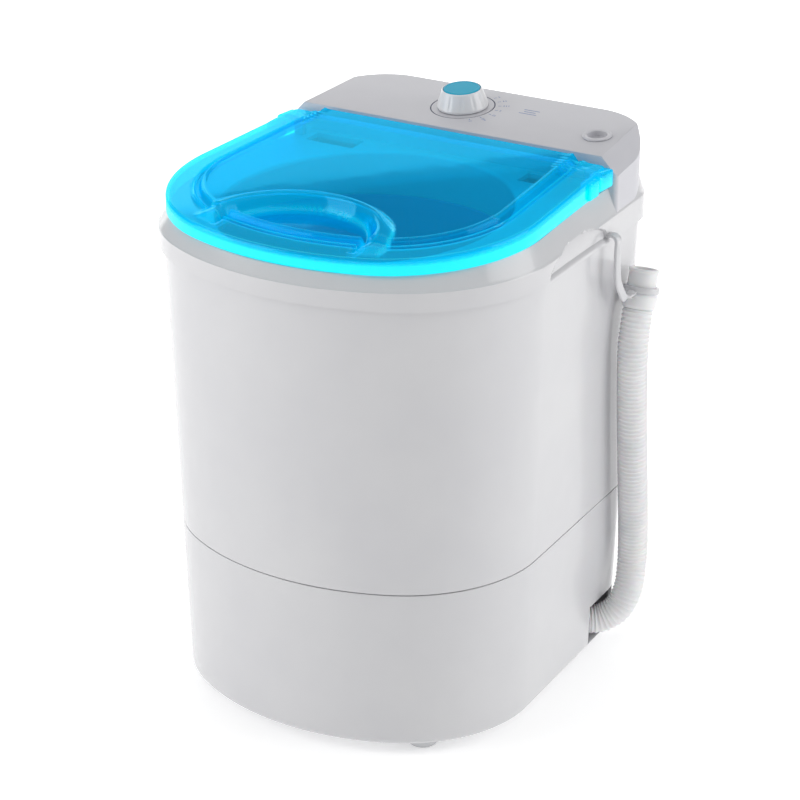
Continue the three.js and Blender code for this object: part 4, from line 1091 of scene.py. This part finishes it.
def pulsatorRings():
    p = pulsatorSize
    z0 = p["floor"]
    line = roundedLine([(0.0063, z0, 0), (0.030, z0, 0), (0.030, z0 + 0.005, 0), (0.070, z0 + 0.007, 0.002),
                        (0.078, z0 + 0.005, 0.001),
                        (0.078, z0 + 0.009, 0.002), (0.066, z0 + 0.0115, 0.006), (0.026, z0 + 0.014, 0.008),
                        (0.019, z0 + 0.024, 0.004),
                        (0.012, z0 + 0.026, 0.002), (0.0063, z0 + 0.026, 0)], 6)
    rings = []
    sides = p["sides"]
    for r, z in denser(line, 0.003):
        ring = []
        for i in range(sides):
            a = 2 * math.pi * i / sides
            upper = z > z0 + 0.0085 and 0.018 < r < 0.0765
            twist = (r - 0.02) * p["sweep"]
            ridge = max(math.cos(p["vanes"] * (a + twist)), 0) ** 5
            fade = float(smoothStep(0.018, 0.030, r) * (1 - smoothStep(0.066, 0.0765, r)))
            lift = p["vaneHigh"] * ridge * fade if upper else 0.0
            ring.append((tubBase.x + r * math.cos(a), tubBase.y + r * math.sin(a), z + lift))
        rings.append(np.array(ring))
    return rings


pulsatorPoints, pulsatorFaces = skin(pulsatorRings(), loop=True)
newObject("pulsator_disc", pulsatorPoints, pulsatorFaces, "pulsator", pulsatorPolypropylene, 45,
          ("pulsator",))
print("tub made")


# ---- feet, covers and fasteners

footLine = roundedLine([(0.0001, 0.0, 0), (0.0118, 0.0, 0.0010), (0.0130, 0.0012, 0.001),
                        (0.0200, 0.0097, 0.0008), (0.0040, 0.0097, 0),
                        (0.0040, 0.0180, 0), (0.0001, 0.0180, 0)], 4)
for i in range(1, 5):
    low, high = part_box(f"foot_{i}")
    spot = Vector(((low.x + high.x) / 2, (low.y + high.y) / 2, 0))
    footPoints, footFaces = skin(turned(footLine, 64, base=spot), capStart=True, capEnd=True)
    newObject(f"rubber_foot_{i}", footPoints, footFaces, "cabinet", softRubber, 40, (f"foot_{i}",))

steelNodes = ["timer_shaft", "hinge_pin_left", "hinge_pin_right", "pulsator_screw", "drive_shaft",
              "motor_bracket", "motor_shaft"]
steelNodes += [n for n in nodes if "screw_" in n]
finishes = {n: zincSteel for n in steelNodes}
finishes.update({"bearing_housing": castAluminium, "motor_pulley": castAluminium,
                 "driven_pulley": castAluminium,
                 "upper_bush": sinteredBronze, "lower_bush": sinteredBronze, "motor": motorEnamel,
                 "shaft_seal": blackRubber,
                 "drive_belt": blackRubber, "cord_gland": blackRubber, "capacitor": greyAbs,
                 "bottom_cover": greyAbs,
                 "rear_cover": whiteAbs, "timer_body": blackAbs, "drain_pipe": hosePolyethylene})
for name, material in finishes.items():
    piece = nodes[name]
    piece.data.materials.clear()
    piece.data.materials.append(material)
print("finishes assigned")


# ---- floor, light and world

floorMaterial, floorTree, floorPlace = surfaceTree("studio_floor")
floorNoise = addNode(floorTree, "ShaderNodeTexNoise", {"Scale": 3.0}, {"Vector": (floorPlace, "Object")})
floorTone = addNode(floorTree, "ShaderNodeValToRGB", None, {"Fac": (floorNoise, "Fac")})
floorTone.color_ramp.elements[0].color = linear("#FBFBFB")
floorTone.color_ramp.elements[1].color = linear("#FDFDFD")
floorReach = addNode(floorTree, "ShaderNodeVectorMath", {"operation": "LENGTH"}, {0: (floorPlace, "Object")})
# A faint glow that grows with distance keeps the far floor as pale as the near.
floorGlow = addNode(floorTree, "ShaderNodeMapRange",
                    {"From Min": 1.2, "From Max": 4.0, "To Min": 0.34, "To Max": 0.8},
                    {"Value": (floorReach, "Value")})
floorShader = addNode(floorTree, "ShaderNodeBsdfPrincipled", {"Roughness": 0.7},
                      {"Base Color": (floorTone, "Color"), "Emission Color": (floorTone, "Color"),
                       "Emission Strength": (floorGlow, "Result")})
finishTree(floorTree, floorShader)
reach, level = 14, -0.0004
floorCorners = [(-reach, -reach, level), (reach, -reach, level), (reach, reach, level),
                (-reach, reach, level)]
floor = newObject("studio_floor", floorCorners, [(0, 1, 2, 3)], None, floorMaterial)

world = bpy.data.worlds.new("studio")
bpy.context.scene.world = world
world.use_nodes = True
world.node_tree.nodes["Background"].inputs["Color"].default_value = (1, 1, 1, 1)
world.node_tree.nodes["Background"].inputs["Strength"].default_value = 0.24


def softLight(name, spot, target, size, radiance):
    lamp = bpy.data.lights.new(name, "AREA")
    lamp.shape = "RECTANGLE"
    lamp.size, lamp.size_y = size
    lamp.energy = radiance * math.pi * size[0] * size[1]
    holder = bpy.data.objects.new(name, lamp)
    bpy.context.scene.collection.objects.link(holder)
    holder.location = spot
    holder.rotation_euler = (Vector(target) - Vector(spot)).to_track_quat("-Z", "Y").to_euler()
    return holder


softLight("ceiling", (0, 0, 4.0), (0, 0, 0), (9, 9), 0.54)
softLight("left", (-2.14, -2.03, 1.1), (0, 0, 0.25), (2.0, 2.4), 2.3)
softLight("right", (2.57, 1.12, 1.1), (0, 0, 0.25), (1.8, 2.4), 2.2)
softLight("back", (-1.20, 1.64, 0.83), (-0.145, 0.194, -0.061), (3.0, 1.2), 1.1)
bpy.context.scene.view_settings.view_transform = "Standard"
bpy.context.scene.view_settings.look = "None"
print("stage made")

bpy.context.view_layer.update()
